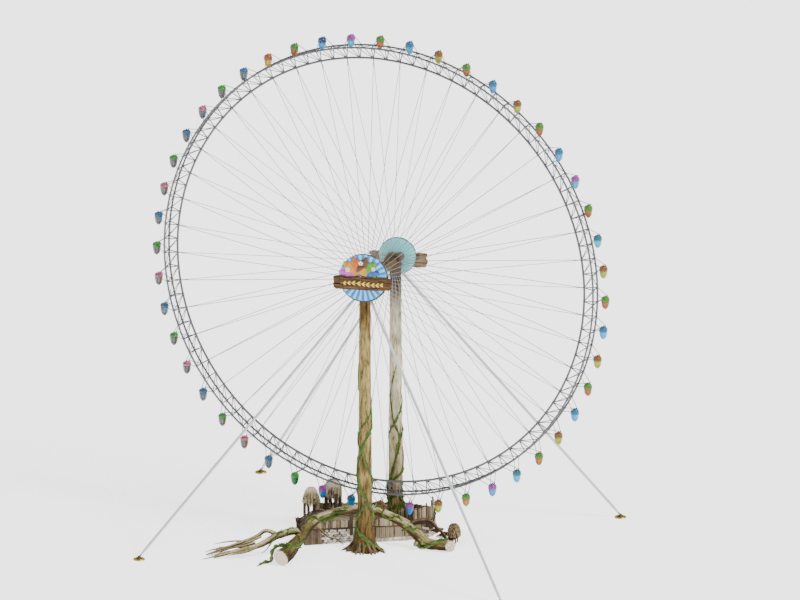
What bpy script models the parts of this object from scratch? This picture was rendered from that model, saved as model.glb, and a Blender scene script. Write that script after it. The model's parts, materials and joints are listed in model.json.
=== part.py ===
"""A cable-spoked ferris wheel themed as a forest, as a 1:10 scale model.

The frame has the origin on the ground under the hub. X lies in the wheel's
plane, Y is the axle and Z points up. All sizes are in metres of the model.
"""

import math

import bmesh
import bpy
from mathutils import Matrix, Vector

# Driving sizes of the wheel
HUB_HEIGHT = 6.370
CABINS = 48
PANELS = 96
PANEL_ANGLE = math.tau / PANELS
CABIN_ANGLE = math.tau / CABINS
TOP_ANGLE = math.pi / 2

OUTER_RADIUS = 5.250
INNER_RADIUS = 4.983
RIM_HALF_WIDTH = 0.133
OUTER_CHORD = 0.020
INNER_CHORD = 0.023
WEB_BAR = 0.011
BRACKET_BAR = 0.007
BAR_SIDES = 3
PIVOT_RADIUS = 5.495
BRACKET_HALF_WIDTH = 0.130
PIN_RADIUS = 0.009
PIN_OVERHANG = 0.012
PIN_SIDES = 4
CHORD_SIDES = 4

# Hub barrel, flanges and cables
BARREL_RADIUS = 0.120
BARREL_HALF = 0.765
BARREL_SIDES = 12
FLANGE_RADIUS = 0.210
FLANGE_Y = 0.735
FLANGE_THICK = 0.030
BORE_RADIUS = 0.0600
BORE_DEPTH = 0.090
BORE_MOUTH = 0.010
SPINDLE_RADIUS = 0.0592
ROUND_SIDES = 24
CABLE_RADIUS = 0.0045
CABLE_OFFSET = 0.0046
CABLE_ROOT = 0.012

# Acorn cabin, measured from its pivot
CAP_RADIUS = 0.103
CABIN_BOTTOM = -0.280
CABIN_SIDES = 8
CABIN_PROFILE = (
    (0.000, -0.012),
    (0.070, -0.032),
    (CAP_RADIUS, -0.078),
    (0.088, -0.104),
    (0.060, -0.228),
    (0.000, CABIN_BOTTOM),
)
HANGER_SIZE = (0.036, 0.050, 0.070)
HANGER_CENTRE = 0.008
HANGER_BORE = 0.0112
BORE_SIDES = 6

# Tree-trunk pillars
PILLAR_Y = 0.905
TRUNK_SIDES = 12
TRUNK_TOP_RADIUS = 0.125
STRAIGHT_TOP = 0.40
TRUNK_PROFILE = (
    (TRUNK_TOP_RADIUS, HUB_HEIGHT),
    (TRUNK_TOP_RADIUS, HUB_HEIGHT - STRAIGHT_TOP),
    (0.132, 3.80),
    (0.150, 1.60),
    (0.158, 0.90),
    (0.185, 0.50),
    (0.235, 0.22),
    (0.300, 0.00),
)
HEAD_RADIUS = 0.118
HEAD_INNER_Y = 0.785
HEAD_OUTER_Y = 1.045
SPINDLE_END_Y = 0.690
TOE_COUNT = 6
TOE_START = {"reach": 0.22, "height": 0.12, "radius": 0.060}
TOE_END = {"reach": 0.42, "height": 0.022, "radius": 0.020}
TOE_SIDES = 6

# Signs
SIGN_YAW = math.radians(-13)
SIGN_SIDES = 32
SIGN_THICK = 0.060
SIGN_BOSS = 0.100
NEAR_DISC_RADIUS = 0.566
NEAR_DISC_CENTRE = (0.090, -1.190, HUB_HEIGHT + 0.156)
NEAR_BOARD_CENTRE = (0.080, -1.262, HUB_HEIGHT + 0.050)
FAR_DISC_RADIUS = 0.434
FAR_DISC_CENTRE = (-0.070, 1.190, HUB_HEIGHT)
FAR_BOARD_CENTRE = (-0.060, 1.262, HUB_HEIGHT - 0.090)
NEAR_BOARD_SIZE = (1.385, 0.100, 0.305)
FAR_BOARD_SIZE = (1.460, 0.100, 0.330)

# Stays
STAY_FOOT_X = 4.437
STAY_FOOT_Y = 3.553
STAY_HEAD_Z = 6.230
STAY_RADIUS = 0.032
STAY_SIDES = 8
STAY_FOOT_Z = 0.05
STAY_SEAT_RISE = 0.20
ANCHOR_RADIUS = 0.138
ANCHOR_TOP_RADIUS = 0.124
ANCHOR_HEIGHT = 0.028
ANCHOR_SIDES = 16
CONE_RADIUS = 0.060
CONE_TOP_RADIUS = 0.030
CONE_BOTTOM = 0.010
CONE_TOP = 0.085
CONE_SIDES = 12

# Boarding station
STATION_OUTLINE = (
    (-1.38, -1.15),
    (-0.52, -0.59),
    (0.23, -0.18),
    (0.72, 0.14),
    (1.04, 0.59),
    (0.86, 1.18),
    (0.00, 1.42),
    (-1.00, 1.16),
    (-1.75, 0.34),
    (-1.80, -0.45),
)
PLATFORM_HEIGHT = 0.370
PARAPET_HEIGHT = 0.560
PARAPET_INSET = 0.88
PALISADE_ROUTE = ((0.74, 0.24), (0.99, 0.60), (0.83, 1.12))
PALISADE_BOTTOM = 0.300
PALISADE_TOP = 0.750
PALISADE_THICK = 0.060
GAP = 0.0003
STEP_COUNT = 4
STEP_START = (0.92, 0.45)
STEP_END = (1.62, 0.34)
STEP_WIDTH = 0.30
STEP_OVERLAP = 0.04
ARCH_POST = (-0.47, -0.58)
ARCH_POST_TOP = 0.84
ARCH_POST_RADIUS = 0.040
ARCH_POST_SIDES = 6
HUTS = (
    {"x": -1.87, "y": 0.40, "floor": 0.0, "eaves": 0.50, "top": 0.875, "radius": 0.20, "leg": 0.11},
    {"x": -1.40, "y": 0.57, "floor": 0.3, "eaves": 0.62, "top": 1.070, "radius": 0.21, "leg": 0.12},
    {"x": 1.66, "y": 0.36, "floor": 0.0, "eaves": 0.20, "top": 0.450, "radius": 0.15, "leg": 0.09},
)
POST_HALF = 0.022
POST_TENON = 0.060
ROOF_SIDES = 8
ROOF_SHARES = ((0.00, 1.00), (0.45, 0.92), (0.85, 0.45), (1.00, 0.00))
GROUND_CUT = (12.0, 12.0, 1.0)
LOG_RESOLUTION = 2
WELD_DISTANCE = 0.00005

# Bent log over the station and its branches: x, y, z, radius of each point
ARCH_ROUTE = (
    (-1.276, -2.800, 0.200, 0.188),
    (-1.203, -2.480, 0.282, 0.175),
    (-1.171, -2.040, 0.395, 0.130),
    (-1.149, -1.400, 0.588, 0.110),
    (-0.976, -0.920, 0.697, 0.090),
    (-0.578, -0.580, 0.785, 0.093),
    (0.066, -0.420, 0.791, 0.104),
    (0.596, -0.390, 0.620, 0.102),
    (0.903, -0.370, 0.452, 0.118),
    (1.128, -0.350, 0.250, 0.132),
    (1.416, -0.330, 0.118, 0.120),
    (1.819, -0.320, 0.142, 0.128),
)
BRANCH_ROUTE = (
    (-1.190, -1.800, 0.480, 0.085),
    (-1.479, -1.980, 0.535, 0.084),
    (-1.833, -2.220, 0.369, 0.072),
    (-2.280, -2.500, 0.206, 0.055),
    (-2.907, -2.820, 0.022, 0.028),
)
FORK_ROUTE = (
    (-1.662, -2.100, 0.480, 0.060),
    (-1.972, -2.120, 0.548, 0.042),
    (-2.350, -2.300, 0.326, 0.040),
    (-3.088, -2.620, 0.038, 0.024),
)
ROOT_ROUTE = (
    (0.860, -0.370, 0.500, 0.060),
    (1.030, -0.250, 0.625, 0.050),
    (1.280, -0.100, 0.575, 0.045),
    (1.470, -0.010, 0.360, 0.040),
    (1.600, 0.020, 0.160, 0.036),
    (1.690, 0.030, 0.030, 0.030),
)

CAP_COLOURS = {
    "purple": (0.35, 0.07, 0.40),
    "green": (0.10, 0.36, 0.04),
    "blue": (0.05, 0.20, 0.52),
    "brown": (0.30, 0.12, 0.04),
}
CAP_ORDER = (
    "green blue brown green blue brown green blue purple green green brown "
    "green blue brown green blue brown green blue purple green brown purple "
    "brown blue purple green blue purple green blue purple green blue purple "
    "green blue purple green blue purple green blue brown green blue purple"
).split()


def make_collection(name):
    collection = bpy.data.collections.new(name)
    bpy.context.scene.collection.children.link(collection)
    return collection


def make_material(name, colour, roughness, metallic=0.0):
    material = bpy.data.materials.new(name)
    material.use_nodes = True
    shader = material.node_tree.nodes["Principled BSDF"]
    shader.inputs["Base Color"].default_value = (*colour, 1.0)
    shader.inputs["Roughness"].default_value = roughness
    shader.inputs["Metallic"].default_value = metallic
    return material


def finish_object(name, mesh, collection, material):
    obj = bpy.data.objects.new(name, mesh)
    collection.objects.link(obj)
    if material:
        mesh.materials.append(material)
    return obj


def object_from(bm, name, collection, material=None):
    """Turns a finished bmesh into an object."""
    mesh = bpy.data.meshes.new(name)
    bmesh.ops.recalc_face_normals(bm, faces=bm.faces)
    bm.to_mesh(mesh)
    bm.free()
    return finish_object(name, mesh, collection, material)


def helper_from(bm, name):
    """An object that only joins or cuts others."""
    obj = object_from(bm, name, cutters)
    obj.hide_render = True
    obj.display_type = "WIRE"
    return obj


def combine(obj, other, operation="UNION", solver="EXACT"):
    modifier = obj.modifiers.new(operation.lower() + "_" + other.name, "BOOLEAN")
    modifier.operation = operation
    modifier.object = other
    modifier.solver = solver
    return modifier


def add_bar(bm, start, end, radius, sides=4, end_radius=None, turn=0.0):
    """A closed prism or cone from start to end."""
    start, end = Vector(start), Vector(end)
    along = end - start
    rotation = along.to_track_quat("Z", "Y").to_matrix().to_4x4()
    place = Matrix.Translation((start + end) / 2) @ rotation @ Matrix.Rotation(turn, 4, "Z")
    bmesh.ops.create_cone(
        bm,
        cap_ends=True,
        segments=sides,
        radius1=radius,
        radius2=radius if end_radius is None else end_radius,
        depth=along.length,
        matrix=place,
    )


def add_box(bm, centre, size, turn=0.0):
    place = Matrix.Translation(centre) @ Matrix.Rotation(turn, 4, "Z") @ Matrix.Diagonal((*size, 1.0))
    bmesh.ops.create_cube(bm, size=1.0, matrix=place)


def wheel_point(radius, angle, y=0.0):
    return Vector((radius * math.cos(angle), y, HUB_HEIGHT + radius * math.sin(angle)))


def panel_angle(index):
    """Panel points lie half a panel to each side of a cabin."""
    return TOP_ANGLE + (index + 0.5) * PANEL_ANGLE


def cabin_angle(index):
    return TOP_ANGLE - index * CABIN_ANGLE


def chord_ring(name, radius, y, tube, collection, material=None):
    bpy.ops.mesh.primitive_torus_add(
        major_segments=CABINS,
        minor_segments=CHORD_SIDES,
        major_radius=radius,
        minor_radius=tube,
    )
    ring = bpy.context.object
    place = Matrix.Translation((0, y, HUB_HEIGHT)) @ Matrix.Rotation(math.pi / 2, 4, "X")
    ring.data.transform(place @ Matrix.Rotation(PANEL_ANGLE / 2, 4, "Z"))
    ring.name = name
    for owner in list(ring.users_collection):
        owner.objects.unlink(ring)
    collection.objects.link(ring)
    if material:
        ring.data.materials.append(material)
    return ring


def hide_as_helper(obj):
    obj.hide_render = True
    obj.display_type = "WIRE"
    return obj


def build_rim_truss(steel):
    """Three chords, joined by posts at every second panel point, and the cabin brackets."""
    rim = chord_ring("rim_truss", INNER_RADIUS, 0.0, INNER_CHORD, model, steel)
    for side, y in (("front", -RIM_HALF_WIDTH), ("back", RIM_HALF_WIDTH)):
        ring = chord_ring(side + "_chord", OUTER_RADIUS, y, OUTER_CHORD, cutters)
        combine(rim, hide_as_helper(ring), solver="MANIFOLD")
    for side, y in (("front", -RIM_HALF_WIDTH), ("back", RIM_HALF_WIDTH)):
        posts = bmesh.new()
        for index in range(0, PANELS, 2):
            angle = panel_angle(index)
            start, end = wheel_point(INNER_RADIUS, angle), wheel_point(OUTER_RADIUS, angle, y)
            add_bar(posts, start, end, WEB_BAR, BAR_SIDES)
        combine(rim, helper_from(posts, side + "_posts"), solver="MANIFOLD")
    for side, sign in (("front", -1), ("back", 1)):
        for leg, offset in (("first", -0.5), ("second", 0.5)):
            bars = bmesh.new()
            for index in range(CABINS):
                angle = cabin_angle(index)
                foot = wheel_point(OUTER_RADIUS, angle + offset * PANEL_ANGLE, sign * RIM_HALF_WIDTH)
                apex = wheel_point(PIVOT_RADIUS, angle, sign * BRACKET_HALF_WIDTH)
                add_bar(bars, foot, apex, BRACKET_BAR, BAR_SIDES)
            combine(rim, helper_from(bars, side + "_bracket_" + leg), solver="MANIFOLD")
    pins = bmesh.new()
    for index in range(CABINS):
        reach = BRACKET_HALF_WIDTH + PIN_OVERHANG
        angle = cabin_angle(index)
        start = wheel_point(PIVOT_RADIUS, angle, -reach)
        add_bar(pins, start, wheel_point(PIVOT_RADIUS, angle, reach), PIN_RADIUS, PIN_SIDES)
    combine(rim, helper_from(pins, "pivot_pins"), solver="MANIFOLD")
    return rim


def build_hub_and_spokes(wood, cables_end):
    """Hub barrel with a flange near each end and one cable to each from 48 panel points."""
    bm = bmesh.new()
    near_end, far_end = (0, -BARREL_HALF, HUB_HEIGHT), (0, BARREL_HALF, HUB_HEIGHT)
    add_bar(bm, near_end, far_end, BARREL_RADIUS, BARREL_SIDES)
    hub = object_from(bm, "hub_and_spokes", model, wood)
    for side, sign in (("near", -1), ("far", 1)):
        bm = bmesh.new()
        inner = Vector((0, sign * (FLANGE_Y - FLANGE_THICK / 2), HUB_HEIGHT))
        outer = Vector((0, sign * (FLANGE_Y + FLANGE_THICK / 2), HUB_HEIGHT))
        add_bar(bm, inner, outer, FLANGE_RADIUS, ROUND_SIDES)
        combine(hub, helper_from(bm, side + "_flange"))
        bm = bmesh.new()
        for index in range(0, PANELS, 2):
            angle = panel_angle(index)
            start = wheel_point(FLANGE_RADIUS - CABLE_ROOT, angle, sign * FLANGE_Y)
            end = wheel_point(cables_end, angle, sign * CABLE_OFFSET)
            add_bar(bm, start, end, CABLE_RADIUS, BAR_SIDES)
        combine(hub, helper_from(bm, side + "_cables"))
        bm = bmesh.new()
        mouth = Vector((0, sign * (BARREL_HALF + BORE_MOUTH), HUB_HEIGHT))
        floor = Vector((0, sign * (BARREL_HALF - BORE_DEPTH), HUB_HEIGHT))
        add_bar(bm, floor, mouth, BORE_RADIUS, ROUND_SIDES)
        combine(hub, helper_from(bm, side + "_bore"), "DIFFERENCE")
    return hub


def profile_mesh(profile, name):
    """The open line of a turned shape, which runs from its top to its bottom."""
    bm = bmesh.new()
    verts = [bm.verts.new((radius, 0.0, z)) for radius, z in profile]
    for first, second in zip(verts, verts[1:]):
        bm.edges.new((first, second))
    mesh = bpy.data.meshes.new(name)
    bm.to_mesh(mesh)
    bm.free()
    return mesh


def turned_object(name, profile, sides, collection, material=None):
    """A closed solid turned round Z; its ends are closed to the axis."""
    closed = [(0.0, profile[0][1])] * (profile[0][0] > 0) + list(profile)
    closed += [(0.0, profile[-1][1])] * (profile[-1][0] > 0)
    obj = finish_object(name, profile_mesh(closed, name), collection, material)
    screw = obj.modifiers.new("turn", "SCREW")
    screw.steps = sides
    screw.render_steps = sides
    screw.use_merge_vertices = True
    screw.merge_threshold = 0.0001
    screw.use_smooth_shade = False
    return obj


def build_cabin_mesh():
    """The acorn with its hanger, around the pivot as origin."""
    acorn = turned_object("acorn", CABIN_PROFILE, CABIN_SIDES, cutters)
    bm = bmesh.new()
    add_box(bm, (0, 0, HANGER_CENTRE), HANGER_SIZE)
    combine(acorn, helper_from(bm, "hanger"))
    bm = bmesh.new()
    half = HANGER_SIZE[1]
    add_bar(bm, (0, -half, 0), (0, half, 0), HANGER_BORE, BORE_SIDES)
    combine(acorn, helper_from(bm, "hanger_bore"), "DIFFERENCE")
    graph = bpy.context.evaluated_depsgraph_get()
    mesh = bpy.data.meshes.new_from_object(acorn.evaluated_get(graph))
    for helper in (acorn, bpy.data.objects["hanger"], bpy.data.objects["hanger_bore"]):
        bpy.data.objects.remove(helper, do_unlink=True)
    return mesh


def build_cabins(mesh, materials):
    for index in range(CABINS):
        name = f"cabin_{index + 1:02d}"
        own = mesh.copy()
        own.name = name
        own.materials.clear()
        own.materials.append(materials[CAP_ORDER[index]])
        cabin = bpy.data.objects.new(name, own)
        cabin.location = wheel_point(PIVOT_RADIUS, cabin_angle(index))
        model.objects.link(cabin)


def build_pillar(name, sign, bark, toe_count):
    pillar = turned_object(name, TRUNK_PROFILE, TRUNK_SIDES, model, bark)
    pillar.location = (0, sign * PILLAR_Y, 0)
    head = bmesh.new()
    inner = Vector((0, sign * HEAD_INNER_Y, HUB_HEIGHT))
    add_bar(head, inner, (0, sign * HEAD_OUTER_Y, HUB_HEIGHT), HEAD_RADIUS, TRUNK_SIDES)
    combine(pillar, helper_from(head, name + "_head"))
    spindle = bmesh.new()
    root = (0, sign * PILLAR_Y, HUB_HEIGHT)
    end = (0, sign * SPINDLE_END_Y, HUB_HEIGHT)
    add_bar(spindle, root, end, SPINDLE_RADIUS, ROUND_SIDES, turn=math.pi / ROUND_SIDES)
    combine(pillar, helper_from(spindle, name + "_spindle"))
    if not toe_count:
        return pillar
    toes = bmesh.new()
    for index in range(toe_count):
        angle = (index + 0.5) * math.tau / toe_count
        direction = Vector((math.cos(angle), math.sin(angle), 0))
        base = Vector((0, sign * PILLAR_Y, 0))
        start = base + direction * TOE_START["reach"] + Vector((0, 0, TOE_START["height"]))
        end = base + direction * TOE_END["reach"] + Vector((0, 0, TOE_END["height"]))
        add_bar(toes, start, end, TOE_START["radius"], TOE_SIDES, TOE_END["radius"])
    combine(pillar, helper_from(toes, name + "_toes"))
    return pillar


def build_sign(name, sign, centre, radius, board_centre, board_size, wood):
    bm = bmesh.new()
    boss_start = (0, sign * (HEAD_OUTER_Y + GAP), HUB_HEIGHT)
    add_bar(bm, boss_start, (0, centre[1], HUB_HEIGHT), SIGN_BOSS, TRUNK_SIDES)
    obj = object_from(bm, name, model, wood)
    facing = Vector((math.sin(-SIGN_YAW), -math.cos(SIGN_YAW), 0)) * (-sign)
    disc = bmesh.new()
    middle = Vector(centre)
    add_bar(disc, middle - facing * SIGN_THICK / 2, middle + facing * SIGN_THICK / 2, radius, SIGN_SIDES)
    combine(obj, helper_from(disc, name + "_disc"))
    board = bmesh.new()
    add_box(board, board_centre, board_size, -SIGN_YAW)
    combine(obj, helper_from(board, name + "_board"))
    return obj


def build_stay(name, x_sign, y_sign, steel):
    bm = bmesh.new()
    foot = Vector((x_sign * STAY_FOOT_X, y_sign * STAY_FOOT_Y, STAY_FOOT_Z))
    head = Vector((0, y_sign * PILLAR_Y, STAY_HEAD_Z))
    add_bar(bm, foot, head, STAY_RADIUS, STAY_SIDES)
    stay = object_from(bm, name, model, steel)
    anchor = bmesh.new()
    ground = Vector((foot.x, foot.y, 0))
    top = ground + Vector((0, 0, ANCHOR_HEIGHT))
    add_bar(anchor, ground, top, ANCHOR_RADIUS, ANCHOR_SIDES, ANCHOR_TOP_RADIUS)
    combine(stay, helper_from(anchor, name + "_anchor"))
    cone = bmesh.new()
    bottom, top = ground + Vector((0, 0, CONE_BOTTOM)), ground + Vector((0, 0, CONE_TOP))
    add_bar(cone, bottom, top, CONE_RADIUS, CONE_SIDES, CONE_TOP_RADIUS)
    combine(stay, helper_from(cone, name + "_cone"))
    seat = bmesh.new()
    grown = TRUNK_TOP_RADIUS + GAP / math.cos(math.pi / TRUNK_SIDES)
    base = Vector((0, y_sign * PILLAR_Y, HUB_HEIGHT - STRAIGHT_TOP))
    top = base + Vector((0, 0, STRAIGHT_TOP + STAY_SEAT_RISE))
    add_bar(seat, base, top, grown, TRUNK_SIDES, turn=math.pi / 2)
    combine(stay, helper_from(seat, name + "_seat"), "DIFFERENCE")
    return stay


def build_station(stone):
    curve = bpy.data.curves.new("boarding_station", "CURVE")
    curve.dimensions = "2D"
    curve.fill_mode = "BOTH"
    curve.extrude = PARAPET_HEIGHT / 2
    spline = curve.splines.new("POLY")
    spline.points.add(len(STATION_OUTLINE) - 1)
    for point, (x, y) in zip(spline.points, STATION_OUTLINE):
        point.co = (x, y, 0, 1)
    spline.use_cyclic_u = True
    source = bpy.data.objects.new("station_outline", curve)
    model.objects.link(source)
    mesh = mesh_from_curve(source)
    mesh.transform(Matrix.Translation((0, 0, PARAPET_HEIGHT / 2)))
    station = finish_object("boarding_station", mesh, model, stone)
    inner = mesh.copy()
    cx = sum(x for x, _ in STATION_OUTLINE) / len(STATION_OUTLINE)
    cy = sum(y for _, y in STATION_OUTLINE) / len(STATION_OUTLINE)
    shift = Matrix.Translation((cx, cy, PLATFORM_HEIGHT))
    shrink = Matrix.Diagonal((PARAPET_INSET, PARAPET_INSET, 1.0, 1.0))
    inner.transform(shift @ shrink @ Matrix.Translation((-cx, -cy, 0)))
    hollow = finish_object("platform_hollow", inner, cutters, None)
    combine(station, hide_as_helper(hollow), "DIFFERENCE")
    start, end = Vector((*STEP_START, 0)), Vector((*STEP_END, 0))
    run = (end - start) / STEP_COUNT
    turn = math.atan2(run.y, run.x)
    for index in range(STEP_COUNT):
        height = PLATFORM_HEIGHT * (STEP_COUNT - index) / (STEP_COUNT + 1)
        centre = start + run * (index + 0.5) + Vector((0, 0, height / 2))
        bm = bmesh.new()
        add_box(bm, centre, (run.length + STEP_OVERLAP, STEP_WIDTH, height), turn)
        combine(station, helper_from(bm, f"step_{index + 1}"))
    add_palisade(station)
    bm = bmesh.new()
    x, y = ARCH_POST
    foot, top = (x, y, PLATFORM_HEIGHT / 2), (x, y, ARCH_POST_TOP)
    add_bar(bm, foot, top, ARCH_POST_RADIUS, ARCH_POST_SIDES)
    combine(station, helper_from(bm, "arch_post"))
    for number, hut in enumerate(HUTS, 1):
        add_hut(station, number, hut)
    grown = [(radius + 2 * GAP, z) for radius, z in TRUNK_PROFILE]
    seat = turned_object("trunk_seat", grown, TRUNK_SIDES, cutters)
    seat.location = (0, PILLAR_Y, 0)
    combine(station, hide_as_helper(seat), "DIFFERENCE")
    grown = [(x, y, z, radius + 2 * GAP) for x, y, z, radius in ARCH_ROUTE]
    rest = finish_object("arch_rest", tube_mesh("arch_rest_curve", grown), cutters, None)
    combine(station, hide_as_helper(rest), "DIFFERENCE")
    return station


def add_palisade(station):
    """The taller fence on the platform's right-hand side."""
    for index, (first, second) in enumerate(zip(PALISADE_ROUTE, PALISADE_ROUTE[1:]), 1):
        start, end = Vector((*first, 0)), Vector((*second, 0))
        run = end - start
        middle = (start + end) / 2 + Vector((0, 0, (PALISADE_BOTTOM + PALISADE_TOP) / 2))
        size = (run.length + PALISADE_THICK, PALISADE_THICK, PALISADE_TOP - PALISADE_BOTTOM)
        bm = bmesh.new()
        add_box(bm, middle, size, math.atan2(run.y, run.x))
        combine(station, helper_from(bm, f"palisade_{index}"))


def add_hut(station, number, hut):
    for index, (dx, dy) in enumerate(((-1, -1), (1, -1), (1, 1), (-1, 1)), 1):
        bm = bmesh.new()
        top = hut["eaves"] + POST_TENON
        centre = (hut["x"] + dx * hut["leg"], hut["y"] + dy * hut["leg"], (hut["floor"] + top) / 2)
        add_box(bm, centre, (2 * POST_HALF, 2 * POST_HALF, top - hut["floor"]))
        combine(station, helper_from(bm, f"hut_{number}_post_{index}"))
    rise = hut["top"] - hut["eaves"]
    profile = [(hut["radius"] * out, hut["eaves"] + rise * up) for out, up in ROOF_SHARES]
    roof = turned_object(f"hut_{number}_roof", profile, ROOF_SIDES, cutters)
    roof.location = (hut["x"], hut["y"], 0)
    combine(station, hide_as_helper(roof))


def mesh_from_curve(source):
    """The curve's mesh with its caps welded; the curve is removed."""
    graph = bpy.context.evaluated_depsgraph_get()
    mesh = bpy.data.meshes.new_from_object(source.evaluated_get(graph))
    bm = bmesh.new()
    bm.from_mesh(mesh)
    bmesh.ops.remove_doubles(bm, verts=bm.verts, dist=WELD_DISTANCE)
    bmesh.ops.recalc_face_normals(bm, faces=bm.faces)
    bm.to_mesh(mesh)
    bm.free()
    bpy.data.objects.remove(source, do_unlink=True)
    return mesh


def tube_mesh(name, route):
    """A log that follows the route, with its own radius at each point."""
    curve = bpy.data.curves.new(name, "CURVE")
    curve.dimensions = "3D"
    curve.bevel_depth = 1.0
    curve.bevel_resolution = LOG_RESOLUTION
    curve.use_fill_caps = True
    spline = curve.splines.new("POLY")
    spline.points.add(len(route) - 1)
    for point, (x, y, z, radius) in zip(spline.points, route):
        point.co = (x, y, z, 1)
        point.radius = radius
    source = bpy.data.objects.new(name, curve)
    model.objects.link(source)
    return mesh_from_curve(source)


def build_log_arch(bark):
    arch = finish_object("log_arch", tube_mesh("arch_curve", ARCH_ROUTE), model, bark)
    for name, route in (("branch", BRANCH_ROUTE), ("fork", FORK_ROUTE), ("root", ROOT_ROUTE)):
        helper = finish_object(name, tube_mesh(name + "_curve", route), cutters, None)
        combine(arch, hide_as_helper(helper))
    ground = bmesh.new()
    add_box(ground, (0, 0, -GROUND_CUT[2] / 2), GROUND_CUT)
    combine(arch, helper_from(ground, "ground_cut"), "DIFFERENCE")
    return arch


for old in list(bpy.data.objects):
    bpy.data.objects.remove(old, do_unlink=True)
model = make_collection("ferris_wheel")
cutters = make_collection("cutters")
cutters.hide_render = True

steel = make_material("painted_steel", (0.10, 0.10, 0.11), 0.45, 0.3)
log_wood = make_material("log_cladding", (0.16, 0.10, 0.05), 0.85)
bark = make_material("bark", (0.30, 0.21, 0.11), 0.9)
pale_steel = make_material("white_painted_steel", (0.62, 0.63, 0.65), 0.4, 0.2)
sign_blue = make_material("sign_blue", (0.16, 0.45, 0.70), 0.5)
sign_teal = make_material("sign_teal", (0.16, 0.45, 0.46), 0.4)
station_wood = make_material("station_boards", (0.20, 0.15, 0.11), 0.9)
mossy_bark = make_material("mossy_bark", (0.28, 0.24, 0.14), 0.9)
cap_materials = {name: make_material("cap_" + name, colour, 0.35) for name, colour in CAP_COLOURS.items()}

build_rim_truss(steel)
chord_face = INNER_RADIUS - INNER_CHORD
build_hub_and_spokes(log_wood, chord_face - GAP)
build_cabins(build_cabin_mesh(), cap_materials)
build_pillar("near_pillar", -1, bark, TOE_COUNT)
build_pillar("far_pillar", 1, bark, 0)
build_sign("near_sign", -1, NEAR_DISC_CENTRE, NEAR_DISC_RADIUS, NEAR_BOARD_CENTRE, NEAR_BOARD_SIZE, sign_blue)
build_sign("far_sign", 1, FAR_DISC_CENTRE, FAR_DISC_RADIUS, FAR_BOARD_CENTRE, FAR_BOARD_SIZE, sign_teal)
for y_name, y_sign in (("near", -1), ("far", 1)):
    for x_name, x_sign in (("left", -1), ("right", 1)):
        build_stay(f"stay_{y_name}_{x_name}", x_sign, y_sign, pale_steel)
build_station(station_wood)
build_log_arch(mossy_bark)
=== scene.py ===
import json
import math
import random

import bmesh
import bpy
from mathutils import Matrix, Vector, noise


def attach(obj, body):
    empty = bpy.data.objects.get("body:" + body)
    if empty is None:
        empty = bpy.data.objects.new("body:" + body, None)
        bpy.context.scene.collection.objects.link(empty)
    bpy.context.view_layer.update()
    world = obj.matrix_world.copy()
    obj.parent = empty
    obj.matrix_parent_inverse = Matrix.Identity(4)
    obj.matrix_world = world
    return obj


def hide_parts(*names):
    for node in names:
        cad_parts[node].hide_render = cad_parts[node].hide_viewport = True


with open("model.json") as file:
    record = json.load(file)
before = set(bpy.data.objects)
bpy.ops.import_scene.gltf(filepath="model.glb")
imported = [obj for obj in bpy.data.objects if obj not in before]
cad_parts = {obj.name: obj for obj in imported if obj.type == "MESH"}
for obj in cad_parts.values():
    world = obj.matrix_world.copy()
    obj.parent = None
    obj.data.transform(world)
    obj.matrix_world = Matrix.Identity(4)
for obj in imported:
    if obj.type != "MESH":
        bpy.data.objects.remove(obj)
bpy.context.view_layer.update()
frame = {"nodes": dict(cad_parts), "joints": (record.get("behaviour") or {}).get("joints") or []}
print("frame loaded,", len(frame["nodes"]), "solids")

# Places that the frame gives: the hub, the cabins' pivots and the rings of the rim
pivots = {joint["child"]: Vector(joint["pos_m"]) for joint in frame["joints"]}
hub = pivots["wheel"]
cabinNames = sorted(name for name in pivots if name.startswith("cabin_"))
cabinCount = len(cabinNames)
bayAngle = math.tau / cabinCount
pivotRadius = (pivots[cabinNames[0]] - hub).length
millimetre = 0.001
moved = Matrix.Translation


# Small tools for nodes, meshes and pieces

def hexColour(code, alpha=1.0):
    # sRGB hex to the linear values that a shader wants
    channels = [int(code[i:i + 2], 16) / 255 for i in (0, 2, 4)]
    return (*[c / 12.92 if c <= 0.04045 else ((c + 0.055) / 1.055) ** 2.4 for c in channels], alpha)


def feedNode(tree, node, links):
    # A link's value is a node, a node with the name of its output, a socket or a plain value
    for key, value in links.items():
        socket = next(s for s in node.inputs if s.enabled and key in (s.identifier, s.name))
        if isinstance(value, tuple) and isinstance(value[0], bpy.types.Node):
            value = next(s for s in value[0].outputs if s.enabled and value[1] in (s.identifier, s.name))
        if isinstance(value, bpy.types.Node):
            value = next(s for s in value.outputs if s.enabled)
        if isinstance(value, bpy.types.NodeSocket):
            tree.links.new(value, socket)
        else:
            socket.default_value = value


def addNode(tree, kind, links=None, **settings):
    node = tree.nodes.new(kind)
    for name, value in settings.items():
        setattr(node, name, value)
    feedNode(tree, node, links or {})
    return node


def newTree(name, sockets):
    # A Geometry Nodes tree with a mesh going in and out, and the named inputs
    tree = bpy.data.node_groups.new(name, "GeometryNodeTree")
    tree.interface.new_socket("Geometry", in_out="INPUT", socket_type="NodeSocketGeometry")
    for label, (kind, value) in sockets.items():
        socket = tree.interface.new_socket(label, in_out="INPUT", socket_type="NodeSocket" + kind)
        if value is not None:
            socket.default_value = value
    tree.interface.new_socket("Geometry", in_out="OUTPUT", socket_type="NodeSocketGeometry")
    return tree, tree.nodes.new("NodeGroupInput")


def closeTree(tree, given, geometry):
    real = addNode(tree, "GeometryNodeRealizeInstances", {"Geometry": geometry})
    painted = addNode(tree, "GeometryNodeSetMaterial", {"Geometry": real, "Material": (given, "Material")})
    addNode(tree, "NodeGroupOutput", {"Geometry": painted})


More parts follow.
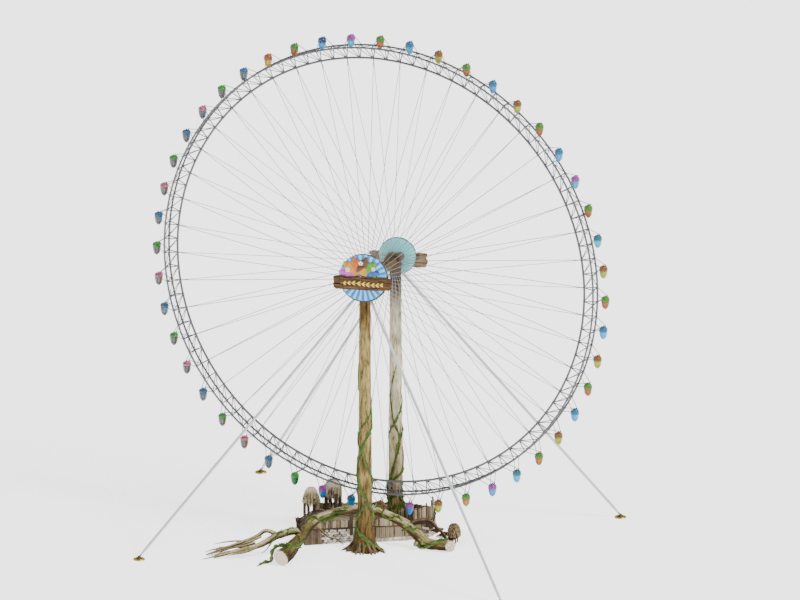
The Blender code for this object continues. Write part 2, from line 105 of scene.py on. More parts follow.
def runTree(name, tree, source, values):
    # Evaluates the tree on a mesh and gives back a plain mesh
    holder = bpy.data.objects.new(name, source)
    bpy.context.scene.collection.objects.link(holder)
    modifier = holder.modifiers.new(name, "NODES")
    modifier.node_group = tree
    for item in tree.interface.items_tree:
        if item.in_out == "INPUT" and item.name in values:
            modifier[item.identifier] = values[item.name]
    graph = bpy.context.evaluated_depsgraph_get()
    mesh = bpy.data.meshes.new_from_object(holder.evaluated_get(graph))
    mesh.name = name
    mesh.materials.clear()
    mesh.materials.append(values["Material"])
    holder.modifiers.remove(modifier)
    bpy.data.objects.remove(holder)
    return mesh


def polar(radius, angle, height=0.0):
    return Vector((radius * math.cos(angle), radius * math.sin(angle), height))


def rolled(degrees, axis):
    return Matrix.Rotation(math.radians(degrees), 4, axis)


def axleFrame(side=1):
    # Z of this frame runs outward along the axle, from the hub to this side
    return moved(hub) @ rolled(-90 * side, "X")


def rod(radius, low, high):
    # The profile of a plain cylinder
    return [(0, low), (radius, low), (radius, high), (0, high)]


def newShape():
    # A bmesh whose points carry "grain": where they lie round and along their own log or board
    bm = bmesh.new()
    bm.verts.layers.float_vector.new("grain")
    return bm


def addPoint(bm, place, grain=None):
    point = bm.verts.new(place)
    point[bm.verts.layers.float_vector["grain"]] = place if grain is None else grain
    return point


def meshFrom(bm, name, materials=()):
    mesh = bpy.data.meshes.new(name)
    bm.to_mesh(mesh)
    bm.free()
    for material in materials:
        mesh.materials.append(material)
    return mesh


def joinMeshes(name, meshes):
    # One mesh from several, each keeping its own materials and attributes
    parts = [bpy.data.objects.new(name, mesh) for mesh in meshes]
    for part in parts:
        bpy.context.scene.collection.objects.link(part)
    with bpy.context.temp_override(active_object=parts[0], selected_editable_objects=parts):
        bpy.ops.object.join()
    joined = parts[0].data
    joined.name = name
    bpy.data.objects.remove(parts[0])
    return joined


def placePiece(name, mesh, body, replaced=(), sharp=40):
    for vert in mesh.vertices:
        vert.co.z = max(vert.co.z, 0)
    mesh.shade_smooth()
    mesh.set_sharp_from_angle(angle=math.radians(sharp))
    piece = bpy.data.objects.new(name, mesh)
    bpy.context.scene.collection.objects.link(piece)
    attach(piece, body)
    if replaced:
        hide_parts(*replaced)


def addRings(bm, rings, materialIndex=0, closeEnds=True):
    # Skins a row of rings of equal length; the ends get a fan round their middle
    grain = bm.verts.layers.float_vector["grain"]
    count = len(rings[0])
    faces = []
    for first, second in zip(rings, rings[1:]):
        for k in range(count):
            after = (k + 1) % count
            faces.append(bm.faces.new((first[k], first[after], second[after], second[k])))
    for ring, flip in ((rings[0], True), (rings[-1], False)) if closeEnds else ():
        middle = addPoint(bm, sum((v.co for v in ring), Vector()) / count,
                          sum((v[grain] for v in ring), Vector()) / count)
        for k in range(count):
            pair = (ring[k], ring[(k + 1) % count])
            faces.append(bm.faces.new((middle, *(reversed(pair) if flip else pair))))
    for face in faces:
        face.material_index = materialIndex
    return faces


def addTurned(bm, profile, sides, place=Matrix.Identity(4), materialIndex=0, relief=None):
    # Turns (radius, height) points about Z, lowest first; a zero radius closes an end,
    # and a profile that ends where it starts is a ring
    rings = []
    poles = [None, None]
    closed = profile[0] == profile[-1]
    for index, (radius, height) in enumerate(profile[:-1] if closed else profile):
        if radius == 0:
            poles[index > 0] = addPoint(bm, place @ Vector((0, 0, height)), Vector((0, 0, height)))
            continue
        ring = []
        for k in range(sides):
            angle = k * math.tau / sides
            reach = radius * (relief(angle, height, radius) if relief else 1)
            spot = polar(reach, angle, height)
            ring.append(addPoint(bm, place @ spot, spot))
        rings.append(ring)
    if closed:
        rings.append(rings[0])
    faces = addRings(bm, rings, materialIndex, closeEnds=False)
    for pole, ring, flip in ((poles[0], rings[0], True), (poles[1], rings[-1], False)):
        for k in range(sides) if pole else ():
            pair = (ring[k], ring[(k + 1) % sides])
            face = bm.faces.new((pole, *(reversed(pair) if flip else pair)))
            face.material_index = materialIndex
            faces.append(face)
    return faces


def smoothRoute(route, spacing):
    # Evenly spaced points on a smooth curve through given ones of x, y, z and radius
    points = [Vector(point) for point in route]
    points = [2 * points[0] - points[1], *points, 2 * points[-1] - points[-2]]
    fine = []
    for a, b, c, d in zip(points, points[1:], points[2:], points[3:]):
        count = max(2, round((c.xyz - b.xyz).length / spacing))
        for step in range(count):
            t = step / count
            fine.append(0.5 * (2 * b + (c - a) * t + (2 * a - 5 * b + 4 * c - d) * t * t
                               + (3 * b - a - 3 * c + d) * t ** 3))
    fine.append(points[-2])
    return fine


def addRoute(bm, route, sides, relief=None, materialIndex=0, endIndex=None):
    # A closed tube along the route; relief(angle, travelled, radius) scales the radius of each point
    rings = []
    side = None
    travelled = 0.0
    for index, point in enumerate(route):
        before, after = route[max(index - 1, 0)], route[min(index + 1, len(route) - 1)]
        along = (after.xyz - before.xyz).normalized()
        side = along.orthogonal() if side is None else side - along * side.dot(along)
        side.normalize()
        across = along.cross(side)
        travelled += (point.xyz - before.xyz).length
        ring = []
        for k in range(sides):
            angle = k * math.tau / sides
            out = side * math.cos(angle) + across * math.sin(angle)
            reach = point.w * (relief(angle, travelled, point.w) if relief else 1)
            own = polar(reach, angle, travelled)
            ring.append(addPoint(bm, point.xyz + out * reach, own))
        rings.append(ring)
    faces = addRings(bm, rings, materialIndex)
    for face in faces[-2 * sides:] if endIndex is not None else ():
        face.material_index = endIndex
    return faces


def barMesh(name, bars):
    # Loose edges that carry each bar's radius, for the tube tree
    mesh = bpy.data.meshes.new(name)
    points = [point for bar in bars for point in bar[:2]]
    mesh.from_pydata(points, [(2 * i, 2 * i + 1) for i in range(len(bars))], [])
    radii = mesh.attributes.new("barRadius", "FLOAT", "POINT")
    radii.data.foreach_set("value", [bar[2] for bar in bars for end in range(2)])
    return mesh


def spotMesh(name, spots):
    # Loose points that carry each copy's turn and stretch, for the copying tree
    mesh = bpy.data.meshes.new(name)
    mesh.from_pydata([spot[0] for spot in spots], [], [])
    for label, column in (("spotTurn", 1), ("spotStretch", 2)):
        attribute = mesh.attributes.new(label, "FLOAT_VECTOR", "POINT")
        attribute.data.foreach_set("vector", [value for spot in spots for value in spot[column]])
    return mesh


# Small tools for the trees

def mathNode(tree, operation, first, second):
    return addNode(tree, "ShaderNodeMath", operation=operation, links={"Value": first, "Value_001": second})


def vectorNode(tree, operation, first, second):
    # The second is a vector, or the factor of a scaling
    key = "Scale" if operation == "SCALE" else "Vector_001"
    return addNode(tree, "ShaderNodeVectorMath", operation=operation, links={"Vector": first, key: second})


def readAttribute(tree, name, kind):
    return addNode(tree, "GeometryNodeInputNamedAttribute", {"Name": name}, data_type=kind)


def circleCurve(tree, corners, radius):
    return addNode(tree, "GeometryNodeCurvePrimitiveCircle", {"Resolution": corners, "Radius": radius})


def randomNode(tree, kind, seed, low, high, suffix=""):
    return addNode(tree, "FunctionNodeRandomValue", data_type=kind, links={
        "Min" + suffix: low, "Max" + suffix: high, "Seed": seed})


# Edges become round bars, each of its own radius
tubeTree, given = newTree("barsToTubes", {"Sides": ("Int", 8), "Material": ("Material", None)})
curves = addNode(tubeTree, "GeometryNodeMeshToCurve", {"Mesh": (given, "Geometry")})
tubes = addNode(tubeTree, "GeometryNodeCurveToMesh", {
    "Curve": curves, "Profile Curve": circleCurve(tubeTree, (given, "Sides"), 1.0),
    "Scale": readAttribute(tubeTree, "barRadius", "FLOAT"), "Fill Caps": True})
closeTree(tubeTree, given, tubes)

# A round chord of the rim, swept along a circle that lies in the wheel's plane
chordTree, given = newTree("sweptChord", {
    "Radius": ("Float", 5.0), "Tube": ("Float", 0.02), "Segments": ("Int", 192), "Sides": ("Int", 10),
    "Material": ("Material", None)})
tube = addNode(chordTree, "GeometryNodeCurveToMesh", {
    "Curve": circleCurve(chordTree, (given, "Segments"), (given, "Radius")),
    "Profile Curve": circleCurve(chordTree, (given, "Sides"), (given, "Tube"))})
stood = addNode(chordTree, "GeometryNodeTransform", {"Geometry": tube, "Rotation": (math.pi / 2, 0, 0)})
closeTree(chordTree, given, stood)

# One bay or ray is copied round the Y axis
ringTree, given = newTree("copiesRoundAxle", {"Copies": ("Int", 48), "Material": ("Material", None)})
points = addNode(ringTree, "GeometryNodePoints", {"Count": (given, "Copies")})
part = mathNode(ringTree, "DIVIDE", addNode(ringTree, "GeometryNodeInputIndex"), (given, "Copies"))
euler = addNode(ringTree, "ShaderNodeCombineXYZ", {"Y": mathNode(ringTree, "MULTIPLY", part, math.tau)})
copies = addNode(ringTree, "GeometryNodeInstanceOnPoints", {
    "Points": points, "Instance": (given, "Geometry"), "Rotation": euler})
closeTree(ringTree, given, copies)

# One item is copied to each point, with its own turn, stretch, lean and tone
spotTree, given = newTree("copiesOnSpots", {
    "Item": ("Object", None), "Spread": ("Float", 0.1), "Lean": ("Float", 0.05),
    "Seed": ("Int", 1), "Material": ("Material", None)})
item = addNode(spotTree, "GeometryNodeObjectInfo", {"Object": (given, "Item")})
minusOnes, ones = (-1, -1, -1), (1, 1, 1)
lean = randomNode(spotTree, "FLOAT_VECTOR", (given, "Seed"), minusOnes, ones)
leaned = vectorNode(spotTree, "ADD", readAttribute(spotTree, "spotTurn", "FLOAT_VECTOR"),
                    vectorNode(spotTree, "SCALE", lean, (given, "Lean")))
grow = randomNode(spotTree, "FLOAT_VECTOR", mathNode(spotTree, "ADD", (given, "Seed"), 7.0), minusOnes, ones)
growth = vectorNode(spotTree, "ADD", vectorNode(spotTree, "SCALE", grow, (given, "Spread")), ones)
grown = vectorNode(spotTree, "MULTIPLY", readAttribute(spotTree, "spotStretch", "FLOAT_VECTOR"), growth)
spots = addNode(spotTree, "GeometryNodeMeshToPoints", {"Mesh": (given, "Geometry")})
placed = addNode(spotTree, "GeometryNodeInstanceOnPoints", {
    "Points": spots, "Instance": (item, "Geometry"), "Rotation": leaned, "Scale": grown})
tone = randomNode(spotTree, "FLOAT", mathNode(spotTree, "ADD", (given, "Seed"), 13.0), 0.0, 1.0, "_001")
toned = addNode(spotTree, "GeometryNodeStoreNamedAttribute", data_type="FLOAT", domain="INSTANCE",
                links={"Geometry": placed, "Name": "tone", "Value": tone})
closeTree(spotTree, given, toned)


def copyToSpots(name, spots, itemMesh, material, spread, lean, seed):
    shape = bpy.data.objects.new(name + "Item", itemMesh)
    bpy.context.scene.collection.objects.link(shape)
    mesh = runTree(name, spotTree, spotMesh(name, spots),
                   {"Item": shape, "Spread": spread, "Lean": lean, "Seed": seed, "Material": material})
    bpy.data.objects.remove(shape)
    return mesh


# Materials: each starts from the real finish; colours are hex, scales come from millimetres

def startMaterial(name, **sockets):
    material = bpy.data.materials.new(name)
    material.use_nodes = True
    tree = material.node_tree
    for key, value in sockets.items():
        tree.nodes["Principled BSDF"].inputs[key.replace("_", " ")].default_value = value
    return material, tree, addNode(tree, "ShaderNodeTexCoord").outputs["Object"]


def finishMaterial(material, colour, source, rough, bump=None, height=None):
    # Roughness runs between two values over the source; bump is its strength and its depth in mm
    tree = material.node_tree
    links = {"Base Color": colour, "Roughness": mapped(tree, (source, "Fac"), rough)}
    if bump:
        links["Normal"] = addNode(tree, "ShaderNodeBump", {
            "Height": height or (source, "Fac"), "Strength": bump[0], "Distance": bump[1] * millimetre})
    feedNode(tree, tree.nodes["Principled BSDF"], links)
    return material


def perMetre(*sizesMm):
    # A texture scale that gives features of this size
    scales = tuple(1 / (size * millimetre) for size in sizesMm)
    return scales if len(scales) > 1 else scales[0]


def cloudy(tree, place, sizeMm, detail, **more):
    # Soft noise; without a size its place has been scaled already
    scale = perMetre(sizeMm) if sizeMm else 1.0
    return addNode(tree, "ShaderNodeTexNoise", {"Vector": place, "Scale": scale, "Detail": detail, **more})


def stretched(tree, place, *sizesMm):
    return addNode(tree, "ShaderNodeMapping", {"Vector": place, "Scale": perMetre(*sizesMm)})


def attribute(tree, name):
    return addNode(tree, "ShaderNodeAttribute", attribute_name=name)


def mapped(tree, value, target, source=(0.0, 1.0)):
    return addNode(tree, "ShaderNodeMapRange", {
        "Value": value, "From Min": source[0], "From Max": source[1],
        "To Min": target[0], "To Max": target[1]})


def weighted(tree, value, weight, added):
    return addNode(tree, "ShaderNodeMath", operation="MULTIPLY_ADD", links={
        "Value": value, "Value_001": weight, "Value_002": added})


def mixed(tree, share, first, second, mode="MIX"):
    # The two colours are hex codes or nodes
    first, second = [hexColour(part) if isinstance(part, str) else part for part in (first, second)]
    return addNode(tree, "ShaderNodeMix", data_type="RGBA", blend_type=mode, links={
        "Factor_Float": share, "A_Color": first, "B_Color": second})


def ramped(tree, value, *stops):
    # Three stops from low to high, each a place and a hex code
    ramp = addNode(tree, "ShaderNodeValToRGB", {"Fac": value})
    low, middle, high = stops
    for element, (spot, code) in zip(ramp.color_ramp.elements, (low, high)):
        element.position = spot
        element.color = hexColour(code)
    ramp.color_ramp.elements.new(middle[0]).color = hexColour(middle[1])
    return ramp


def paintedTube(name, base, worn, roughness, metallic):
    # Spray-painted steel tube: an even satin coat with faint weathering in soft 300 mm clouds
    material, tree, place = startMaterial(name, Metallic=metallic)
    cloud = cloudy(tree, place, 300, 6.0)
    speck = cloudy(tree, place, 14, 3.0)
    colour = mixed(tree, (cloud, "Fac"), base, worn)
    return finishMaterial(material, colour, speck, (roughness - 0.08, roughness + 0.12), (0.15, 1))


def sculptedBark(name, ridge, middle, fissure, moss=None, mossShare=0.0, plateMm=(60, 420),
                 under=None, fades=()):
    # Cement bark over steel: matt, in upright plates with dark fissures, mossy where asked; under paints
    # shade, browner, on the faces that look down, and each fade multiplies a tint in over a span of one axis
    material, tree, place = startMaterial(name, Specular_IOR_Level=0.2)
    wide, tall = plateMm
    plateSpace = stretched(tree, (attribute(tree, "grain"), "Vector"), wide, wide, tall)
    plates = cloudy(tree, plateSpace, None, 5.0, Roughness=0.62, Distortion=0.6)
    fine = cloudy(tree, plateSpace, None, 6.0, Roughness=0.7, Scale=3.6)
    cloud = cloudy(tree, place, 420, 4.0)
    height = weighted(tree, (fine, "Fac"), 0.45, (plates, "Fac"))
    ramp = ramped(tree, height, (0.55, fissure), (0.68, middle), (0.86, ridge))
    shade = mapped(tree, (cloud, "Fac"), (0.72, 1.12), (0.3, 0.7))
    colour = mixed(tree, 1.0, ramp, shade, "MULTIPLY")
    if moss:
        patch = cloudy(tree, place, 300, 8.0, Roughness=0.66)
        mossy = mapped(tree, (patch, "Fac"), (0.0, 0.85), (0.66 - mossShare, 0.72 - mossShare))
        colour = mixed(tree, mossy, colour, moss)
    # Painted shade: the faces that look down are multiplied by the under colour
    if under:
        normal = addNode(tree, "ShaderNodeNewGeometry")
        facing = addNode(tree, "ShaderNodeSeparateXYZ", {"Vector": (normal, "Normal")})
        lower = mapped(tree, (facing, "Z"), (0.0, 1.0), (0.62, -0.15))
        colour = mixed(tree, lower, colour, under, "MULTIPLY")
    # Fades: each tint comes in over its span of one axis; on the trunk tops the callers use them as painted
    # shade
    axes = addNode(tree, "ShaderNodeSeparateXYZ", {"Vector": place})
    for axis, low, high, tint in fades:
        share = mapped(tree, (axes, axis), (0.0, 1.0), (low, high))
        colour = mixed(tree, share, colour, tint, "MULTIPLY")
    return finishMaterial(material, colour, fine, (0.75, 0.98), (1.0, 14), height)


def sawnWood(name, pale, ring, ringMm=9):
    # The sawn end of a log: cream wood with faint year rings
    material, tree, _ = startMaterial(name, Specular_IOR_Level=0.3)
    flat = addNode(tree, "ShaderNodeVectorMath", operation="MULTIPLY", links={
        "Vector": (attribute(tree, "grain"), "Vector"), "Vector_001": (1, 1, 0)})
    rings = addNode(tree, "ShaderNodeTexWave", wave_type="RINGS", rings_direction="SPHERICAL", links={
        "Vector": flat, "Scale": perMetre(ringMm) / 20, "Distortion": 2.5, "Detail": 3.0,
        "Detail Scale": 1.5})
    colour = mixed(tree, (rings, "Fac"), ring, pale)
    return finishMaterial(material, colour, rings, (0.85, 0.7), (0.4, 2))


def weatheredBoard(name, dark, middle, pale, grainMm=(14, 14, 160), toneShare=0.7):
    # Untreated boards gone grey-brown: matt, with long grain, each board in its own tone
    material, tree, place = startMaterial(name, Specular_IOR_Level=0.2)
    grain = cloudy(tree, stretched(tree, place, *grainMm), None, 6.0, Roughness=0.65, Distortion=0.4)
    toned = weighted(tree, (attribute(tree, "tone"), "Fac"), toneShare * 0.5, (grain, "Fac"))
    ramp = ramped(tree, toned, (0.40, dark), (0.62, middle), (0.92, pale))
    return finishMaterial(material, ramp, grain, (0.8, 0.98), (0.7, 5))


def fieldStone(name, dark, pale):
    # Rough field stone: matt, pitted at 20 mm, each stone in its own grey-brown
    material, tree, place = startMaterial(name, Specular_IOR_Level=0.3)
    pits = cloudy(tree, place, 20, 8.0, Roughness=0.7)
    both = weighted(tree, (pits, "Fac"), 0.6, (attribute(tree, "tone"), "Fac"))
    colour = mixed(tree, mapped(tree, both, (0.0, 1.0), (0.2, 1.4)), dark, pale)
    return finishMaterial(material, colour, pits, (0.75, 0.95), (0.8, 4))


def mouldedAcrylic(name, colour, deep, roughness, coat, toneShare=0.5, cloudMm=60):
    # Moulded and tinted plastic: glossy, a little deeper in soft clouds and from piece to piece
    material, tree, place = startMaterial(
        name, Coat_Weight=coat, Coat_Roughness=0.08, Specular_IOR_Level=0.3)
    cloud = cloudy(tree, place, cloudMm, 4.0)
    both = weighted(tree, (attribute(tree, "tone"), "Fac"), toneShare, (cloud, "Fac"))
    tinted = mixed(tree, mapped(tree, both, (0.0, 1.0), (0.3, 0.7 + toneShare)), colour, deep)
    return finishMaterial(material, tinted, cloud, (roughness - 0.06, roughness + 0.1), (0.12, 1))


def strawThatch(name, dark, middle, pale):
    # Bundled straw gone grey: matt, every stalk in its own tone with a darker lower end
    material, tree, place = startMaterial(name, Specular_IOR_Level=0.15)
    along = addNode(tree, "ShaderNodeSeparateXYZ", {"Vector": (attribute(tree, "grain"), "Vector")})
    streak = cloudy(tree, place, 12, 4.0)
    both = weighted(tree, (streak, "Fac"), 0.6, (attribute(tree, "tone"), "Fac"))
    fading = weighted(tree, (along, "Z"), 0.55, both)
    ramp = ramped(tree, fading, (0.25, dark), (0.62, middle), (1.0, pale))
    return finishMaterial(material, ramp, streak, (0.85, 1.0))


def livingGreen(name, dark, pale, patchMm, bumpMm=4):
    # Creeper stems and moss: waxy to matt green with paler patches along them
    material, tree, place = startMaterial(name, Specular_IOR_Level=0.35)
    patch = cloudy(tree, place, patchMm, 7.0, Roughness=0.65)
    colour = mixed(tree, mapped(tree, (patch, "Fac"), (0.0, 1.0), (0.35, 0.65)), dark, pale)
    return finishMaterial(material, colour, patch, (0.55, 0.8), (0.6, bumpMm))


def tealPanel(name, clear, streak, lowZ, highZ):
    # Cast acrylic panel, milky teal and glossy; the plank behind it is painted in as soft brown streaks, a
    # painted see-through view with the plank's shadow
    material, tree, place = startMaterial(name, Coat_Weight=0.5, Coat_Roughness=0.05)
    axes = addNode(tree, "ShaderNodeSeparateXYZ", {"Vector": place})
    grain = cloudy(tree, stretched(tree, place, 300, 300, 26), None, 5.0)
    wobble = weighted(tree, (grain, "Fac"), 0.08, (axes, "Z"))
    above = mapped(tree, wobble, (0.0, 1.0), (lowZ + 0.03, lowZ + 0.06))
    below = mapped(tree, wobble, (0.0, 1.0), (highZ + 0.06, highZ + 0.03))
    band = addNode(tree, "ShaderNodeMath", operation="MULTIPLY", links={"Value": above, "Value_001": below})
    sharp = mapped(tree, (grain, "Fac"), (0.0, 0.75), (0.4, 0.62))
    share = addNode(tree, "ShaderNodeMath", operation="MULTIPLY", links={"Value": band, "Value_001": sharp})
    return finishMaterial(material, mixed(tree, share, clear, streak), grain, (0.16, 0.3))


rimSteel = paintedTube("satinGreyRimPaint", "5f6063", "4c4d50", 0.42, 0.2)
webSteel = paintedTube("satinGreyWebPaint", "5d5f62", "4b4d50", 0.45, 0.2)
wireSteel = paintedTube("galvanisedWireRope", "8c8e91", "76787b", 0.4, 0.3)
flangeSteel = paintedTube("brownHubSteel", "5d4c33", "43351f", 0.5, 0.25)
bronzeSteel = paintedTube("bronzeSocket", "7d6b4e", "5f4f36", 0.45, 0.3)
whitePaint = paintedTube("whiteStayPaint", "c9cbcf", "b1b4b9", 0.38, 0.1)
hubBark = sculptedBark("oliveLogBark", "6f6044", "4c3f29", "1e160c", plateMm=(34, 260))
# Near trunk: the tint that comes in from 5 m is painted shade under the head log and the sign; the other tint
# darkens it towards the ground
nearBark = sculptedBark("goldenTrunkBark", "a8975f", "7b673c", "30220d", fades=(
    ("Z", 5.0, 5.75, "c8b298"), ("Z", 2.6, 0.0, "887444")))
# Far trunk: the dark tint that comes in from 5.1 m is painted shade under the head log; the other tint
# darkens it towards the ground
farBark = sculptedBark("paleTrunkBark", "ded2b4", "b6a886", "66563a", fades=(
    ("Z", 5.1, 5.9, "584630"), ("Z", 3.0, 0.4, "b4a274")))
# The bent log, branch and root take under, painted shade on the faces that look down; the log also darkens
# towards the ground and where Y falls below -1 m
archBark = sculptedBark("mossyLogBark", "e4dabd", "ac9d70", "55451f", "5c7424", 0.05, (46, 300), "6b552e",
                        fades=(("Z", 0.75, 0.10, "9c9464"), ("Y", -1.0, -1.5, "9c9870")))
branchBark = sculptedBark("paleBranchBark", "d8ceae", "a39569", "4c3d1c", "5c7424", 0.02, (46, 300), "6b552e")
rootBark = sculptedBark("darkRootBark", "857352", "574730", "1f160c", "4e6824", -0.02, (34, 200), "65502c")
creeperGreen = livingGreen("creeperStem", "2e430c", "58701f", 60)
# The second strand of each creeper takes this darker copy of the green: painted shade
shadedCreeperGreen = livingGreen("shadedCreeperStem", "25360b", "47581b", 60)
mossGreen = livingGreen("mossCushion", "4c6418", "84963a", 16, 6)
creamWood = sawnWood("creamSawnEnd", "e4d5c4", "b9a58c")
print("materials and trees ready")


# The rim: three chords, their web, the cabin brackets and the pins, one bay copied round

rimSizes = {
    "innerRadius": 4.983, "outerRadius": 5.250, "halfWidth": 0.133, "innerTube": 0.0255, "outerTube": 0.0225,
    "post": 0.0120, "diagonal": 0.0090, "tie": 0.0095, "bracket": 0.0080, "bracketHalfWidth": 0.130,
    "pin": 0.009, "pinReach": 0.142, "collar": 0.0045, "collarLength": 0.034,
    "bush": 0.016, "bushIn": 0.012, "bushOut": 0.006}


def wheelPoint(radius, angle, y=0.0):
    # From the hub's middle; the angle runs clockwise from the top, as the near side sees it
    return Vector((radius * math.sin(angle), y, radius * math.cos(angle)))


def ringedBay(name, bars, sides, material):
    # Copies one bay's bars to all bays and lifts the ring to the hub
    bay = runTree(name + "Bay", tubeTree, barMesh(name, bars), {"Sides": sides, "Material": material})
    ring = runTree(name, ringTree, bay, {"Copies": cabinCount, "Material": material})
    ring.transform(moved(hub))
    return ring


def rimChords():
    # Radius, place along the axle and tube of each chord
    s = rimSizes
    outer = [(s["outerRadius"], side * s["halfWidth"], s["outerTube"]) for side in (-1, 1)]
    return [(s["innerRadius"], 0, s["innerTube"]), *outer]


def rimBay():
    s = rimSizes
    first, second, third = (bayAngle * share for share in (-0.25, 0.25, 0.75))
    heavy, light = [], []
    for side in (-1, 1):
        y = side * s["halfWidth"]
        for angle, after in ((first, second), (second, third)):
            outer, inner = wheelPoint(s["outerRadius"], angle, y), wheelPoint(s["innerRadius"], angle)
            heavy.append((inner, outer, s["post"]))
            light.append((outer, wheelPoint(s["innerRadius"], after), s["diagonal"]))
        apex = wheelPoint(pivotRadius, 0, side * s["bracketHalfWidth"])
        for angle in (first, second):
            light.append((wheelPoint(s["outerRadius"], angle, y), apex, s["bracket"]))
    for angle in (first, second):
        ends = [wheelPoint(s["outerRadius"], angle, side * s["halfWidth"]) for side in (-1, 1)]
        light.append((*ends, s["tie"]))
    light.append((wheelPoint(s["outerRadius"], second, -s["halfWidth"]),
                  wheelPoint(s["outerRadius"], third, s["halfWidth"]), s["diagonal"]))
    pinParts = [(-s["pinReach"], s["pinReach"], s["pin"])]
    for face in (-s["bracketHalfWidth"], s["bracketHalfWidth"]):
        pinParts.append((face - s["bushIn"], face + s["bushOut"], s["bush"]))
    for low, high, thick in pinParts:
        light.append((wheelPoint(pivotRadius, 0, low), wheelPoint(pivotRadius, 0, high), thick))
    for angle in (first, second):
        for radius, y, tube in rimChords():
            half = s["collarLength"] / radius / 2
            ends = [wheelPoint(radius, angle + turn, y) for turn in (-half, half)]
            heavy.append((*ends, tube + s["collar"]))
    return heavy, light


def buildRim():
    chords = []
    for radius, y, tube in rimChords():
        chord = runTree("rimChord", chordTree, bpy.data.meshes.new("rimChord"), {
            "Radius": radius, "Tube": tube, "Segments": 4 * cabinCount, "Sides": 12, "Material": rimSteel})
        chord.transform(moved(hub + Vector((0, y, 0))))
        chords.append(chord)
    heavy, light = rimBay()
    web = [ringedBay("rimPosts", heavy, 8, rimSteel), ringedBay("rimWeb", light, 8, webSteel)]
    lattice = joinMeshes("rimLattice", chords + web)
    placePiece("rimLattice", lattice, "wheel", ["rim_truss"], sharp=50)


# The hub: bark-clad barrel, two steel flanges and a cable to each from every second panel point

hubSizes = {
    "barrelRadius": 0.116, "barrelHalf": 0.765, "boreRadius": 0.0605, "boreFloor": 0.675,
    "flangeRadius": 0.210, "flangeY": 0.735, "flangeHalf": 0.014, "cable": 0.0068, "cableRoot": 0.198,
    "cableEnd": 4.962, "cableY": 0.0046, "socket": 0.0085, "socketLength": 0.16, "lug": 0.013,
    "tipGap": 0.02, "tip": 0.03, "lugInset": 0.012, "lugHalf": 0.022,
    "flangeBore": 0.100, "flangeEdge": 0.004}


def spokeBay():
    # The two cables of a bay, and apart from them their sockets and lugs at the hub
    s = hubSizes
    angle = -bayAngle / 4
    cables, fittings = [], []
    for side in (-1, 1):
        root = wheelPoint(s["cableRoot"], angle, side * s["flangeY"])
        end = wheelPoint(s["cableEnd"], angle, side * s["cableY"])
        along = (end - root).normalized()
        cables.append((root, end, s["cable"]))
        cables.append((end - along * s["socketLength"], end - along * s["tipGap"], s["socket"]))
        cables.append((end - along * s["tip"], end, s["cable"] * 1.6))
        fittings.append((root, root + along * s["socketLength"] / 2, s["socket"] * 0.8))
        foot = wheelPoint(s["cableRoot"] - s["lugInset"], angle, side * (s["flangeY"] - s["lugHalf"]))
        fittings.append((foot, foot + Vector((0, side * 2 * s["lugHalf"], 0)), s["lug"]))
    return cables, fittings


def barkRelief(ridge, length, depth, seed=0.0):
    # Upright ridges with dark seams between them, from folded noise
    def relief(angle, height, radius):
        x, y = radius * math.cos(angle) / ridge, radius * math.sin(angle) / ridge
        spot = Vector((x, y, height / length + seed))
        coarse = 0.5 - 1.8 * abs(noise.noise(spot))
        fine = 0.4 * noise.noise(spot * 2.7)
        return 1 + depth * (coarse + fine) / radius
    return relief


def buildHub():
    s = hubSizes
    alongAxle = axleFrame()
    cables, fittings = spokeBay()
    ropes = ringedBay("spokeCables", cables, 6, wireSteel)
    sockets = ringedBay("spokeSockets", fittings, 8, bronzeSteel)
    placePiece("spokeCables", joinMeshes("spokeCables", [ropes, sockets]), "wheel")
    bm = newShape()
    rows = 48
    reach = s["barrelHalf"] - 0.006
    skin = [(s["barrelRadius"], -reach + 2 * reach * row / rows) for row in range(rows + 1)]
    mouth = [(0, -s["boreFloor"]), (s["boreRadius"], -s["boreFloor"]), (s["boreRadius"], -s["barrelHalf"]),
             (s["barrelRadius"] - 0.008, -s["barrelHalf"])]
    profile = mouth + skin + [(radius, -height) for radius, height in reversed(mouth)]
    ridged = barkRelief(0.030, 0.22, 0.010, 3.0)
    addTurned(bm, profile, 64, alongAxle,
              relief=lambda angle, height, radius: ridged(angle, height, radius) if radius > 0.1 else 1)
    barrel = meshFrom(bm, "hubBarrel", [hubBark])
    placePiece("hubBarrel", barrel, "wheel", ["hub_and_spokes"])
    bm = newShape()
    for y in (-s["flangeY"], s["flangeY"]):
        low, high = y - s["flangeHalf"], y + s["flangeHalf"]
        bore, rim, edge = s["flangeBore"], s["flangeRadius"], s["flangeEdge"]
        ring = [(bore, low), (rim - edge, low), (rim, low + edge), (rim, high - edge), (rim - edge, high),
                (bore, high)]
        addTurned(bm, ring + ring[:1], 96, alongAxle)
    placePiece("hubFlanges", meshFrom(bm, "hubFlanges", [flangeSteel]), "wheel", sharp=30)


buildRim()
buildHub()
print("rim, hub and cables built")


# The cabins: a moulded acorn cap in rows of scales over a glazed body between ribs

